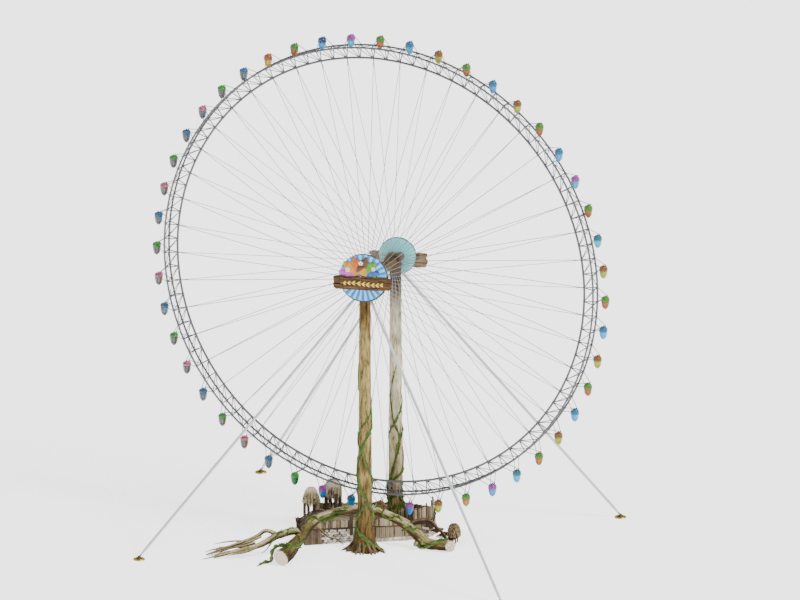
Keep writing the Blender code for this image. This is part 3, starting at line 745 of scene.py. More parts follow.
cabinSizes = {
    "cap": [(0, -0.090), (0.085, -0.090), (0.0945, -0.087), (0.0970, -0.079), (0.0968, -0.062),
            (0.0935, -0.036), (0.0865, -0.012), (0.0735, 0.004), (0.054, 0.014), (0.030, 0.0185),
            (0, 0.020)],
    "body": [(0, -0.279), (0.012, -0.276), (0.026, -0.267), (0.042, -0.252), (0.057, -0.232), (0.070, -0.205),
             (0.080, -0.174), (0.0865, -0.140), (0.0895, -0.110), (0.090, -0.086), (0, -0.086)],
    "stem": [(0, -0.002), (0.027, 0.008), (0.021, 0.020), (0.0175, 0.030), (0.0195, 0.038), (0.015, 0.043),
             (0, 0.043)],
    "scaleRows": [(0.0945, -0.073, 20), (0.0935, -0.053, 19), (0.0895, -0.031, 18), (0.0800, -0.011, 16),
                  (0.0640, 0.003, 13), (0.0420, 0.012, 9), (0.0190, 0.017, 5)],
    "ribs": 8, "ribWidth": 0.011, "ribRise": 0.0035, "bodySides": 32, "capSides": 24,
    "nub": [(0, -0.280), (0.006, -0.279), (0.009, -0.273), (0.008, -0.264), (0, -0.264)],
    "bush": 0.0145, "bushHalf": 0.030, "lips": [(0.0910, -0.097), (0.0735, -0.203)], "paintedShadeWindows": (),
    "paintedLitWindows": (7, 0)}
# What differs on the cabins with grey glazing, which is painted shade: a shallower cap, and dark windows on
# one side, also painted shade
shadedCabinSizes = {
    **cabinSizes,
    "cap": [(0, -0.062), (0.085, -0.062), (0.0945, -0.059), (0.0970, -0.052), (0.0968, -0.040),
            (0.0935, -0.025), (0.0865, -0.008), (0.0735, 0.005), (0.054, 0.014), (0.030, 0.0185),
            (0, 0.020)],
    "body": cabinSizes["body"][:-2] + [(0.0915, -0.084), (0.0920, -0.058), (0, -0.058)],
    "scaleRows": [(0.0945, -0.047, 20), (0.0925, -0.029, 19), (0.0860, -0.011, 17), (0.0700, 0.004, 14),
                  (0.0440, 0.012, 10), (0.0200, 0.017, 5)],
    "lips": [(0.0925, -0.069), (0.0735, -0.203)], "paintedShadeWindows": (3, 4)}


def scaleItem():
    # One rounded scale, a metre wide and long before it is shrunk, thick at its lower edge
    bm = newShape()
    outline = [(-0.5, 0.5), (-0.5, 0.0), (-0.36, -0.32), (0, -0.5), (0.36, -0.32), (0.5, 0.0), (0.5, 0.5)]
    back = [addPoint(bm, Vector((x, 0, y))) for x, y in outline]
    rise = [0.05, 0.75, 0.85, 0.9, 0.85, 0.75, 0.05]
    front = [addPoint(bm, Vector((x * 0.86, -lift, y * 0.9))) for (x, y), lift in zip(outline, rise)]
    crown = addPoint(bm, Vector((0, -1.15, -0.02)))
    for k in range(len(outline)):
        after = (k + 1) % len(outline)
        bm.faces.new((back[after], back[k], front[k], front[after]))
        bm.faces.new((front[k], crown, front[after]))
    bm.faces.new(back)
    bmesh.ops.recalc_face_normals(bm, faces=bm.faces)
    return meshFrom(bm, "capScale")


def capSpots(s):
    spots = []
    profile = s["cap"]
    for row, (radius, height, count) in enumerate(s["scaleRows"]):
        above = [point for point in profile if point[1] > height and point[0] < radius][:1] or [profile[-1]]
        slope = math.atan2(radius - above[0][0], above[0][1] - height)
        for k in range(count):
            angle = (k + 0.5 * (row % 2)) * math.tau / count
            place = Vector((radius * math.sin(angle), -radius * math.cos(angle), height))
            width = math.tau * radius / count * 1.12
            spots.append((place, (-slope, 0, angle), (width, 0.0044, 0.030)))
    return spots


def bodyPane(bm, s):
    # The glazed shell with its solid tip; two windows have their own slot, so that a cabin can mix tints. The
    # tip and the shade side's windows take the frame colour as painted shade, and the two windows with their
    # own slot keep the pane tint as a painted lit side
    addTurned(bm, s["body"], s["bodySides"], materialIndex=paneSlot)
    for face in bm.faces:
        spot = face.calc_center_median()
        window = int((math.atan2(spot.y, spot.x) / math.tau % 1) * s["ribs"])
        # Painted shade on the tip and on the dark windows; painted light on the bright windows of the shaded
        # cabins
        if spot.z < -0.236 or window in s["paintedShadeWindows"]:
            face.material_index = frameSlot
        elif window in s["paintedLitWindows"]:
            face.material_index = paintedLitSlot


def addRibs(bm, s):
    path = [point for point in s["body"] if point[0] > 0.005][:-1]
    for rib in range(s["ribs"]):
        angle = rib * math.tau / s["ribs"]
        out = polar(1, angle)
        across = Vector((-out.y, out.x, 0))
        corners = ((-0.004, -1), (-0.004, 1), (s["ribRise"], 0.8), (s["ribRise"], -0.8))
        rings = []
        for radius, height in path:
            width = s["ribWidth"] * (0.35 + 0.65 * radius / 0.085) / 2
            rings.append([])
            for rise, side in corners:
                spot = out * (radius + rise) + across * (width * side) + Vector((0, 0, height))
                rings[-1].append(addPoint(bm, spot))
        addRings(bm, rings, frameSlot)


def cabinMesh(s):
    # The whole acorn about its pivot
    bm = newShape()
    bodyPane(bm, s)
    addTurned(bm, s["cap"], s["capSides"], materialIndex=capSlot)
    addTurned(bm, s["stem"], 12, materialIndex=capSlot)
    addTurned(bm, s["nub"], 10, materialIndex=frameSlot)
    for radius, height in s["lips"]:
        lip = [(radius - 0.006, height - 0.006), (radius + 0.001, height - 0.005), (radius + 0.002, height),
               (radius + 0.001, height + 0.005), (radius - 0.006, height + 0.006)]
        addTurned(bm, lip + lip[:1], s["bodySides"], materialIndex=frameSlot)
    addRibs(bm, s)
    addTurned(bm, rod(s["bush"], -s["bushHalf"], s["bushHalf"]), 12, rolled(90, "X"), bushSlot)
    solid = meshFrom(bm, "cabinShell", blankMaterials)
    scales = copyToSpots("capScales", capSpots(s), scaleItem(), blankMaterials[capSlot], 0.08, 0.06, 5)
    return joinMeshes("cabinMaster", [solid, scales])


slotNames = ["cap", "pane", "paintedLitPane", "frame", "bush"]
capSlot, paneSlot, paintedLitSlot, frameSlot, bushSlot = range(len(slotNames))
blankMaterials = [bpy.data.materials.new(name) for name in slotNames]

# Cap, pane and deep pane colours of each finish; then the cabins' finishes clockwise from the top
capColours = {
    "green": ("458c0e", "225806"), "vivid": ("1ca814", "0b6c0c"), "blue": ("176f9e", "0b4a74"),
    "brown": ("8a5414", "5a3006"), "purple": ("a53ca8", "6c1c78"), "pink": ("dc7292", "b44a6e"),
    "teal": ("127684", "084a52"), "rust": ("a8521a", "74300a"), "navy": ("0d4178", "062a52")}
paneColours = {
    "orange": ("b46404", "743802"), "sky": ("3cabe0", "187fbc"), "lime": ("aebb10", "748004"),
    "aqua": ("34bcd4", "128cae"), "azure": ("2c8fd0", "1264a4"), "gold": ("bf8410", "824c06"),
    "forest": ("2c7a38", "124c20"), "yellow": ("d8b41a", "9c6e0c"), "slate": ("6c7e8a", "46545e"),
    "steelBlue": ("4c88ac", "24587e"), "olive": ("6c6e28", "434612"), "rose": ("705a58", "4c3838"),
    "tan": ("9a5a16", "603406")}
# A third part, grey, marks the cabins that carry painted shade: grey glass, a charcoal frame and dark
# windows, with the pane tint only on the lit windows
cabinFinishes = (
    "green/orange blue/sky brown/lime green/orange blue/sky brown/lime green/orange blue/sky "
    "purple/aqua green/orange teal/aqua brown/lime green/orange blue/sky brown/lime green/orange "
    "blue/sky brown/lime green/orange teal/sky purple/azure green/gold brown/lime purple/azure "
    "brown/tan blue/sky purple/azure vivid/forest blue/steelBlue/grey pink/tan/grey vivid/olive/grey "
    "blue/steelBlue/grey pink/rose/grey vivid/olive/grey blue/steelBlue/grey pink/tan/grey "
    "vivid/olive/grey blue/steelBlue/grey pink/tan/grey vivid/olive/grey blue/steelBlue/grey "
    "pink/steelBlue/grey vivid/olive/grey blue/steelBlue/grey rust/yellow green/orange navy/sky "
    "purple/aqua").split()


def acrylics(suffix, colours, *look):
    return {name: mouldedAcrylic(name + suffix, *pair, *look) for name, pair in colours.items()}


def buildCabins():
    master, shadedMaster = cabinMesh(cabinSizes), cabinMesh(shadedCabinSizes)
    caps = acrylics("MouldedCap", capColours, 0.36, 0.35)
    panes = acrylics("TintedAcrylic", paneColours, 0.14, 0.3, 0.0, 120)
    deepColours = {name: (deep, deep) for name, (_, deep) in paneColours.items()}
    # Painted shade: the grey pane and the charcoal frame stand in for the shade on the cabins on the shaded
    # side
    paintedShadePane = mouldedAcrylic("paintedShadeGreyAcrylic", "707476", "4a4e50", 0.14, 0.3, 0.0, 120)
    frames = acrylics("Frame", deepColours, 0.3, 0.2, 0.0, 90)
    paintedShadeFrame = mouldedAcrylic("paintedShadeCharcoalFrame", "1d1f20", "121314", 0.3, 0.2, 0.0, 90)
    for name, finish in zip(cabinNames, cabinFinishes):
        cap, pane, *shade = finish.split("/")
        dress = {"cap": caps[cap], "paintedLitPane": panes[pane], "bush": rimSteel,
                 "pane": paintedShadePane if shade else panes[pane], "frame": paintedShadeFrame if shade else frames[pane]}
        mesh = (shadedMaster if shade else master).copy()
        mesh.name = name + "Acorn"
        mesh.transform(moved(pivots[name]))
        for index, label in enumerate(slotNames):
            mesh.materials[index] = dress[label]
        placePiece(name + "_acorn", mesh, name, [name], sharp=35)


buildCabins()
print("cabins built:", cabinCount)


# The pillars: sculpted trunks with flared roots, a log across the top and creepers wound round them

trunkSizes = {
    "y": 0.905, "sectors": 72, "step": 0.055,
    "profile": [(0.300, 0.0), (0.235, 0.22), (0.185, 0.50), (0.158, 0.90), (0.150, 1.60), (0.132, 3.80),
                (0.124, 5.97), (0.122, 6.37)],
    "headRadius": 0.116, "headInner": 0.785, "headOuter": 1.042, "spindleRadius": 0.0590, "spindleEnd": 0.692,
    "bandZ": 6.230, "bandRadius": 0.138, "bandHalf": 0.030}


def trunkRadius(height):
    # Between the profile's points; the flare eases in
    profile = trunkSizes["profile"]
    for (low, bottom), (high, top) in zip(profile, profile[1:]):
        if height <= top:
            share = (height - bottom) / (top - bottom)
            return low + (high - low) * share
    return profile[-1][0]


def flareOf(height):
    return max(0.0, 1 - height / 0.9) ** 2


def lobedRadius(height, angle, lobes, seed):
    # The trunk's form without its bark: the flare swells into lobes at the roots
    flare = flareOf(height)
    lobe = 0.15 * flare * math.cos(lobes * angle + 0.8 * math.sin(angle * 2 + seed))
    sway = 0.06 * noise.noise(polar(1, angle, height * 0.8 + seed))
    return trunkRadius(height) * (1.03 + 0.08 * flare + lobe + sway)


def addTrunk(bm, side, lobes, seed):
    s = trunkSizes
    place = moved((0, side * s["y"], 0))
    ridged = barkRelief(0.060, 0.42, 0.014, seed)

    def relief(angle, height, radius):
        form = lobedRadius(height, angle, lobes, seed) / trunkRadius(height)
        return ridged(angle, height, radius) - 1 + form

    rows = round(hub.z / s["step"])
    heights = [hub.z * row / rows for row in range(rows + 1)]
    profile = [(0, 0.0)] + [(trunkRadius(height), height) for height in heights] + [(0, hub.z)]
    addTurned(bm, profile, s["sectors"], place, relief=relief)
    # The log that lies on top along the axle, with rounded ends
    alongAxle = axleFrame(side)
    radius, inner, outer = s["headRadius"], s["headInner"], s["headOuter"]
    rows = 12
    skin = [(radius, inner + (outer - 0.03 - inner) * row / rows) for row in range(1, rows + 1)]
    head = [(0, inner), (radius - 0.012, inner), *skin, (radius - 0.010, outer - 0.012),
            (radius - 0.035, outer), (0, outer)]
    addTurned(bm, head, 56, alongAxle, 1, barkRelief(0.03, 0.2, 0.010, seed + 5))


# Where each root of the near trunk points, in degrees, and how far it runs
nearToes = [(8, 0.44), (48, 0.40), (86, 0.42), (122, 0.40), (156, 0.44), (184, 0.48), (206, 0.56),
            (232, 0.47), (262, 0.50), (284, 0.44), (310, 0.50), (334, 0.47), (352, 0.56)]


# Along a root: share of the way, height and thickness
toeShape = [(0.0, 0.36, 0.050), (0.25, 0.18, 0.056), (0.5, 0.085, 0.045), (0.72, 0.038, 0.030),
            (0.88, 0.018, 0.016), (1.0, 0.006, 0.005)]


def addToes(bm, side, seed, toes):
    # Roots that run out from the flare, forked at places, and dive into the ground in thin points
    randomToes = random.Random(seed)
    for degrees, reach in toes:
        bend = randomToes.uniform(-0.28, 0.28)
        for fork in (0, 1) if reach > 0.46 else (0,):
            route = []
            for share, height, thick in toeShape:
                out = 0.13 + (reach * (1 - 0.12 * fork) - 0.13) * share
                swing = math.radians(degrees) + bend * share * share + 0.42 * fork * max(0, share - 0.35)
                x, y = out * math.cos(swing), side * trunkSizes["y"] + out * math.sin(swing)
                route.append((x, y, height, thick))
            addRoute(bm, smoothRoute(route, 0.03), 10, barkRelief(0.026, 0.12, 0.007, seed + degrees), 2)


# Creepers up each trunk: height, angle in degrees and stem of each point. The camera sees 292 in the middle,
# 202 at the left and 22 at the right
nearCreepers = [
    [(4.55, 150, 0.012), (4.38, 190, 0.016), (4.10, 204, 0.020), (3.90, 200, 0.020), (3.68, 160, 0.016),
     (3.50, 110, 0.014)],
    [(3.72, 60, 0.012), (3.55, 30, 0.016), (3.37, 12, 0.020), (3.20, -28, 0.022), (3.05, -66, 0.023),
     (2.90, -105, 0.024), (2.72, -150, 0.026), (2.55, -140, 0.026), (2.40, -100, 0.026), (2.19, -72, 0.026),
     (1.93, -38, 0.026), (1.73, 8, 0.027), (1.55, 50, 0.027), (1.35, 95, 0.028)],
    [(3.45, 50, 0.012), (3.26, 24, 0.018), (3.07, 18, 0.024), (2.92, 2, 0.027), (2.76, -42, 0.029),
     (2.55, -76, 0.030), (2.35, -103, 0.031), (2.15, -142, 0.033), (1.90, -150, 0.034), (1.68, -134, 0.034),
     (1.48, -108, 0.034), (1.28, -66, 0.034), (1.12, -36, 0.035), (0.92, 2, 0.036), (0.74, 24, 0.036),
     (0.58, 60, 0.034), (0.35, 95, 0.034)],
    [(1.22, -50, 0.012), (1.10, -72, 0.020), (0.96, -100, 0.026), (0.82, -134, 0.030), (0.68, -150, 0.032),
     (0.55, -136, 0.034), (0.42, -98, 0.036), (0.30, -58, 0.036), (0.18, -22, 0.034), (0.07, 0, 0.030),
     (0.0, 8, 0.022)],
    [(0.36, -72, 0.020), (0.24, -56, 0.026), (0.12, -48, 0.026), (0.03, -46, 0.022)],
    [(0.62, -190, 0.016), (0.48, -170, 0.028), (0.34, -160, 0.034), (0.18, -158, 0.036),
     (0.06, -157, 0.034), (0.0, -155, 0.022)],
    [(0.20, -62, 0.012), (0.11, -78, 0.015), (0.05, -98, 0.015), (0.0, -112, 0.012)],
    [(2.60, 120, 0.014), (2.10, 165, 0.022), (1.60, 215, 0.026), (1.20, 170, 0.028), (0.80, 120, 0.030),
     (0.30, 140, 0.030)]]
farCreepers = [
    [(3.20, 50, 0.010), (3.03, 22, 0.016), (2.80, -26, 0.022), (2.56, -70, 0.024), (2.39, -112, 0.024),
     (2.24, -150, 0.022), (2.05, -190, 0.020), (1.80, -230, 0.020)],
    [(3.90, -60, 0.008), (3.50, -98, 0.012), (3.17, -122, 0.014), (2.90, -108, 0.016), (2.70, -96, 0.018),
     (2.53, -84, 0.018), (2.40, -60, 0.020), (2.26, -38, 0.022), (2.10, -30, 0.020)],
    [(2.50, 60, 0.014), (2.35, 24, 0.022), (2.15, -26, 0.026), (1.90, -50, 0.028), (1.63, -70, 0.029),
     (1.38, -92, 0.030), (1.20, -112, 0.032), (1.06, -150, 0.032), (0.88, -160, 0.032), (0.70, -130, 0.032),
     (0.55, -100, 0.030), (0.40, -80, 0.030)],
    [(2.00, 60, 0.014), (1.81, 26, 0.024), (1.60, 20, 0.028), (1.40, 6, 0.030), (1.24, -60, 0.030),
     (1.12, -118, 0.030), (1.00, -170, 0.028)],
    [(0.78, -60, 0.018), (0.80, -90, 0.022), (0.70, -112, 0.024), (0.56, -104, 0.024), (0.52, -80, 0.022),
     (0.62, -70, 0.016)],
    [(0.95, -48, 0.016), (0.80, -30, 0.030), (0.64, -12, 0.040), (0.50, 6, 0.046), (0.38, 14, 0.046)],
    [(0.90, -20, 0.018), (0.74, -4, 0.030), (0.58, -34, 0.034), (0.42, -52, 0.036)]]


def lumpy(pace, seed):
    return lambda angle, along, radius: 1 + 0.25 * noise.noise(Vector((angle, along * pace, seed)))


def strandRoute(side, lobes, seed, points, strand):
    # One of the two strands that twist round each other along a creeper
    route = []
    coarse = [(math.radians(angle), height, 0, stem) for height, angle, stem in points]
    for index, point in enumerate(smoothRoute(coarse, 0.16)):
        angle, height, stem = point.x, max(point.y, 0.0), point.w * 0.78
        twist = index * 0.55 + strand * math.pi + points[0][0]
        surface = lobedRadius(height, angle, lobes, seed)
        angle += stem * 0.95 * math.cos(twist) / surface
        reach = surface + stem * (0.42 + 0.38 * math.sin(twist))
        height += stem * 0.5 * math.sin(twist * 0.7)
        x, y = reach * math.cos(angle), side * trunkSizes["y"] + reach * math.sin(angle)
        route.append(Vector((x, y, max(height, 0.004), stem)))
    return route


def addLeaf(bm, place, out, size, angle):
    # A small folded leaf that lies off a stem
    up = Vector((0, 0, 1))
    across = out.cross(up).normalized()
    tip = (up * math.cos(angle) + across * math.sin(angle)) * size
    side = tip.cross(out).normalized() * size * 0.36
    lift = out * size * 0.25
    half = place + tip * 0.5
    points = [place, half + side + lift * 0.4, place + tip + lift, half - side + lift * 0.4]
    top = [addPoint(bm, point + out * 0.0035) for point in points]
    bottom = [addPoint(bm, point) for point in points]
    middle = addPoint(bm, half + lift * 0.9 + out * 0.003)
    for k in range(4):
        after = (k + 1) % 4
        bm.faces.new((top[k], top[after], middle))
        bm.faces.new((bottom[after], bottom[k], top[k], top[after])[::-1])
    bm.faces.new(bottom[::-1])


def buildCreepers(name, side, lobes, seed, creepers, leafy):
    bm = newShape()
    randomLeaves = random.Random(seed)
    axis = Vector((0, side * trunkSizes["y"], 0))
    for points in creepers:
        for strand in (0, 1):
            route = strandRoute(side, lobes, seed, points, strand)
            # Strand 1 takes the shaded green, a painted shade
            addRoute(bm, route, 8, lumpy(18, strand + points[0][0]), strand)
            for point in route[2::3]:
                if randomLeaves.random() > (0.9 if point.z < leafy else 0.22):
                    continue
                out = Vector((point.x, point.y - axis.y, 0)).normalized()
                size, lean = randomLeaves.uniform(0.030, 0.062), randomLeaves.uniform(-2.2, 2.2)
                addLeaf(bm, point.xyz + out * point.w * 0.6, out, size, lean)
    bmesh.ops.recalc_face_normals(bm, faces=bm.faces)
    placePiece(name, meshFrom(bm, name, [creeperGreen, shadedCreeperGreen]), "root", sharp=60)


def buildPillar(name, side, bark, lobes, seed, toes):
    s = trunkSizes
    bm = newShape()
    addTrunk(bm, side, lobes, seed)
    addToes(bm, side, seed, toes)
    mesh = meshFrom(bm, name + "Trunk", [bark, hubBark, rootBark])
    placePiece(name + "_trunk", mesh, "root", [name], sharp=60)
    # Steel: the spindle, and the band that the stays pull on
    bm = newShape()
    alongAxle = axleFrame(side)
    radius, tip = s["spindleRadius"], s["spindleEnd"]
    addTurned(bm, [(0, tip), (radius - 0.004, tip), (radius, tip + 0.004), (radius, s["headInner"] + 0.02),
                   (0, s["headInner"] + 0.02)], 48, alongAxle)
    band, half = s["bandRadius"], s["bandHalf"]
    ring = [(band - 0.03, -half), (band, -half), (band + 0.004, -half + 0.006),
            (band + 0.004, half - 0.006), (band, half), (band - 0.03, half)]
    addTurned(bm, ring + ring[:1], 48, moved((0, side * s["y"], s["bandZ"])))
    steelwork = meshFrom(bm, name + "Steelwork", [flangeSteel])
    placePiece(name + "_steelwork", steelwork, "root", sharp=30)


buildPillar("near_pillar", -1, nearBark, 6, 2.0, nearToes)
buildPillar("far_pillar", 1, farBark, 5, 9.0, [])
buildCreepers("near_creepers", -1, 6, 2.0, nearCreepers, 0.35)
buildCreepers("far_creepers", 1, 5, 9.0, farCreepers, 0.95)
print("pillars built")


# The stays: painted tubes from the band on each trunk to a round anchor on the ground

staySizes = {
    "footX": 4.437, "footY": 3.553, "footZ": 0.06, "radius": 0.0315, "clear": 0.15, "neck": 0.020,
    "anchor": [(0, 0.0), (0.137, 0.0), (0.138, 0.004), (0.134, 0.016), (0.122, 0.027), (0.094, 0.028),
               (0.088, 0.022), (0.080, 0.019), (0, 0.018)],
    "cone": [(0, 0.012), (0.074, 0.012), (0.070, 0.022), (0.056, 0.034), (0.042, 0.060), (0.034, 0.083),
             (0.026, 0.088), (0, 0.089)],
    "studs": 12, "studCircle": 0.110, "studRadius": 0.0065}


def buildStay(name, xSide, ySide):
    s = staySizes
    foot = Vector((xSide * s["footX"], ySide * s["footY"], s["footZ"]))
    head = Vector((0, ySide * trunkSizes["y"], trunkSizes["bandZ"]))
    along = (head - foot).normalized()
    length = (head - foot).length
    bm = newShape()
    turnUp = along.to_track_quat("Z", "Y").to_matrix().to_4x4()
    place = moved(foot) @ turnUp
    radius, neck, top = s["radius"], s["neck"], length - s["clear"]
    sleeve = radius + 0.005
    profile = [(0, 0.0), (neck, 0.0), (neck, 0.10), (radius, 0.19), (radius, 0.40), (sleeve, 0.405),
               (sleeve, 0.455), (radius, 0.46)]
    for share in (0.34, 0.67):
        middle = length * share
        profile += [(radius, middle - 0.045), (sleeve, middle - 0.04), (sleeve, middle + 0.04),
                    (radius, middle + 0.045)]
    profile += [(radius, top - 0.16), (neck, top - 0.07), (neck, top), (0, top)]
    addTurned(bm, profile, 24, place)
    tube = meshFrom(bm, name + "Tube", [whitePaint])
    placePiece(name + "_tube", tube, "root", [name], sharp=30)
    bm = newShape()
    ground = moved((foot.x, foot.y, 0))
    addTurned(bm, s["anchor"], 48, ground, 0)
    addTurned(bm, s["cone"], 32, ground, 1)
    for stud in range(s["studs"]):
        angle = stud * math.tau / s["studs"]
        spot = polar(s["studCircle"], angle)
        size = s["studRadius"]
        addTurned(bm, [(0, 0.024), (size, 0.024), (size, 0.034), (0, 0.036)], 6, ground @ moved(spot), 1)
    # The clevis at the foot: two cheeks beside the neck and a pin through them
    across = along.cross(Vector((0, 0, 1))).normalized()
    for side in (-1, 1):
        cheek = moved(foot + across * side * 0.026 + along * 0.03) @ turnUp
        addTurned(bm, [(0, -0.05), (0.012, -0.05), (0.014, 0.0), (0.010, 0.05), (0, 0.05)], 10, cheek, 1)
    pin = moved(foot + along * 0.04) @ across.to_track_quat("Z", "Y").to_matrix().to_4x4()
    addTurned(bm, rod(0.009, -0.045, 0.045), 12, pin)
    anchor = meshFrom(bm, name + "Anchor", [anchorBrass, anchorDark])
    placePiece(name + "_anchor", anchor, "root", sharp=30)


anchorBrass = paintedTube("yellowBrassAnchor", "e0bc1e", "a98a12", 0.3, 0.75)
anchorDark = paintedTube("blackRubberCone", "4a4322", "2e2a18", 0.5, 0.2)
for yName, ySide in (("near", -1), ("far", 1)):
    for xName, xSide in (("left", -1), ("right", 1)):
        buildStay(f"stay_{yName}_{xName}", xSide, ySide)
print("stays built")


# The signs: a round sunburst panel, a ragged plank in front and a motif of acorn and leaves

signSizes = {
    "yaw": math.radians(13), "thick": 0.060, "rays": 24, "rayInner": 0.05, "edge": 0.020,
    "nearRadius": 0.566, "nearDisc": (0.090, -1.190, 0.156), "nearBoard": (0.080, -1.262, 0.050),
    "farRadius": 0.434, "farDisc": (-0.070, 1.190, 0.0), "farBoard": (-0.088, 1.262, -0.105),
    "nearPlank": (1.385, 0.100, 0.315), "farPlank": (1.420, 0.100, 0.352),
    "faceShift": (-0.013, 0.012), "boss": 0.098}


def signPlace(centre, side):
    # The sign's own frame: X along the plank, Y into the sign, Z up
    turned = signSizes["yaw"] + (math.pi if side > 0 else 0)
    return moved(Vector(centre) + Vector((0, 0, hub.z))) @ Matrix.Rotation(turned, 4, "Z")


def discMesh(name, radius, place, edge, face, backFace, ray):
    s = signSizes
    half, lip = s["thick"] / 2, s["edge"]
    outward = place @ rolled(90, "X")
    shiftX, shiftZ = s["faceShift"]
    shifted = place @ moved((shiftX, 0, shiftZ)) @ rolled(90, "X")
    bm = newShape()
    addTurned(bm, [(0, -half), (radius - 0.005, -half), (radius, -half + 0.005), (radius, half - 0.012),
                   (radius - 0.005, half - 0.007), (0, half - 0.007)], 96, outward, 0)
    addTurned(bm, [(0, half - 0.012), (radius - lip - 0.006, half - 0.012),
                   (radius - lip - 0.006, half - 0.006), (radius - lip - 0.009, half - 0.003),
                   (0, half - 0.003)], 96, shifted, 1)
    addTurned(bm, [(0, -half - 0.002), (radius - 0.016, -half - 0.002), (radius - 0.014, -half + 0.003),
                   (0, -half + 0.003)], 96, outward, 2)
    plate = meshFrom(bm, name, [edge, face, backFace])
    # One ray, copied round
    bm = newShape()
    wedge = math.pi / s["rays"] / 2
    inner, outer = s["rayInner"], radius - lip - 0.011
    outline = [(inner, -wedge), *[(outer, wedge * share) for share in (-1, -0.33, 0.33, 1)], (inner, wedge)]
    low = [addPoint(bm, Vector((r * math.sin(a), -(half - 0.006), r * math.cos(a)))) for r, a in outline]
    high = [addPoint(bm, Vector((r * math.sin(a), -(half - 0.0005), r * math.cos(a)))) for r, a in outline]
    bm.faces.new(low)
    bm.faces.new(high)
    for k in range(len(outline)):
        bm.faces.new((low[k], low[k - 1], high[k - 1], high[k]))
    bmesh.ops.recalc_face_normals(bm, faces=bm.faces)
    wedgeMesh = meshFrom(bm, "ray", [ray])
    rays = runTree(name + "Rays", ringTree, wedgeMesh, {"Copies": s["rays"], "Material": ray})
    rays.transform(place @ moved((shiftX, 0, shiftZ)))
    return joinMeshes(name, [plate, rays])


def plankMesh(name, place, size, seed, material, ragged):
    # A split plank: rough faces, wavy edges and ends broken in steps
    length, thick, height = size
    rows, columns = 52, 11
    bm = newShape()
    randomPlank = random.Random(seed)
    teeth = {}
    for end in (-1, 1):
        rough = [randomPlank.uniform(-ragged, 0.0) for _ in range(columns)]
        teeth[end] = [0.5 * depth + 0.5 * rough[max(k - 1, 0)] for k, depth in enumerate(rough)]
    rings = []
    for row in range(rows + 1):
        share = 2 * row / rows - 1
        end = 1 if share > 0 else -1
        ring = []
        for column in range(2 * columns):
            front = column < columns
            step = column if front else 2 * columns - 1 - column
            part = 2 * step / (columns - 1) - 1
            x = share * length / 2 + teeth[end][step] * abs(share) ** 6 * end
            edge = 0.97 + 0.10 * noise.noise(Vector((x * 2.6, seed, 1 if part > 0 else 5)))
            edge -= 0.16 * max(0, abs(share) - 0.88) / 0.12 * (1 if ragged < 0.09 else 0.3)
            z = part * height / 2 * min(1, edge)
            rough = 0.012 * noise.noise(Vector((x * 3, z * 24, seed + (0 if front else 9))))
            rough += 0.006 * noise.noise(Vector((x * 9, z * 50, seed)))
            y = (-1 if front else 1) * (thick / 2 - 0.026 + 0.016 * (1 - part ** 4) + rough)
            ring.append(addPoint(bm, place @ Vector((x, y, z)), Vector((y, z, x))))
        rings.append(ring)
    addRings(bm, rings)
    bmesh.ops.recalc_face_normals(bm, faces=bm.faces)
    return meshFrom(bm, name, [material])


def addLeafShape(bm, place, length, width, lobes, lift, materialIndex):
    # A lobed oak leaf, domed along its midrib, standing off the panel
    steps = 26
    front, back = [], []
    for step in range(steps + 1):
        share = step / steps
        half = width / 2 * math.sin(math.pi * min(1, share * 0.96 + 0.04)) ** 0.7
        half *= 1 + 0.24 * math.cos(math.tau * (share * lobes + 0.5))
        half = max(half, 0.004)
        z = share * length
        rise = lift * (0.4 + 0.6 * math.sin(math.pi * share))
        front.append([])
        for side in (-1, -0.5, 0, 0.5, 1):
            y = -(0.004 + rise * (1 - abs(side)) + 0.012)
            front[-1].append(addPoint(bm, place @ Vector((side * half, y, z))))
        back.append([addPoint(bm, place @ Vector((side * half, 0.0, z))) for side in (-1, 1)])
    faces = []
    for low, high, lowBack, highBack in zip(front, front[1:], back, back[1:]):
        for k in range(4):
            faces.append(bm.faces.new((low[k], low[k + 1], high[k + 1], high[k])))
        faces.append(bm.faces.new((low[4], lowBack[1], highBack[1], high[4])))
        faces.append(bm.faces.new((lowBack[0], low[0], high[0], highBack[0])))
        faces.append(bm.faces.new((lowBack[1], lowBack[0], highBack[0], highBack[1])))
    for row, rear in ((front[0], back[0]), (front[-1], back[-1])):
        faces.append(bm.faces.new((*row, rear[1], rear[0])))
    for face in faces:
        face.material_index = materialIndex


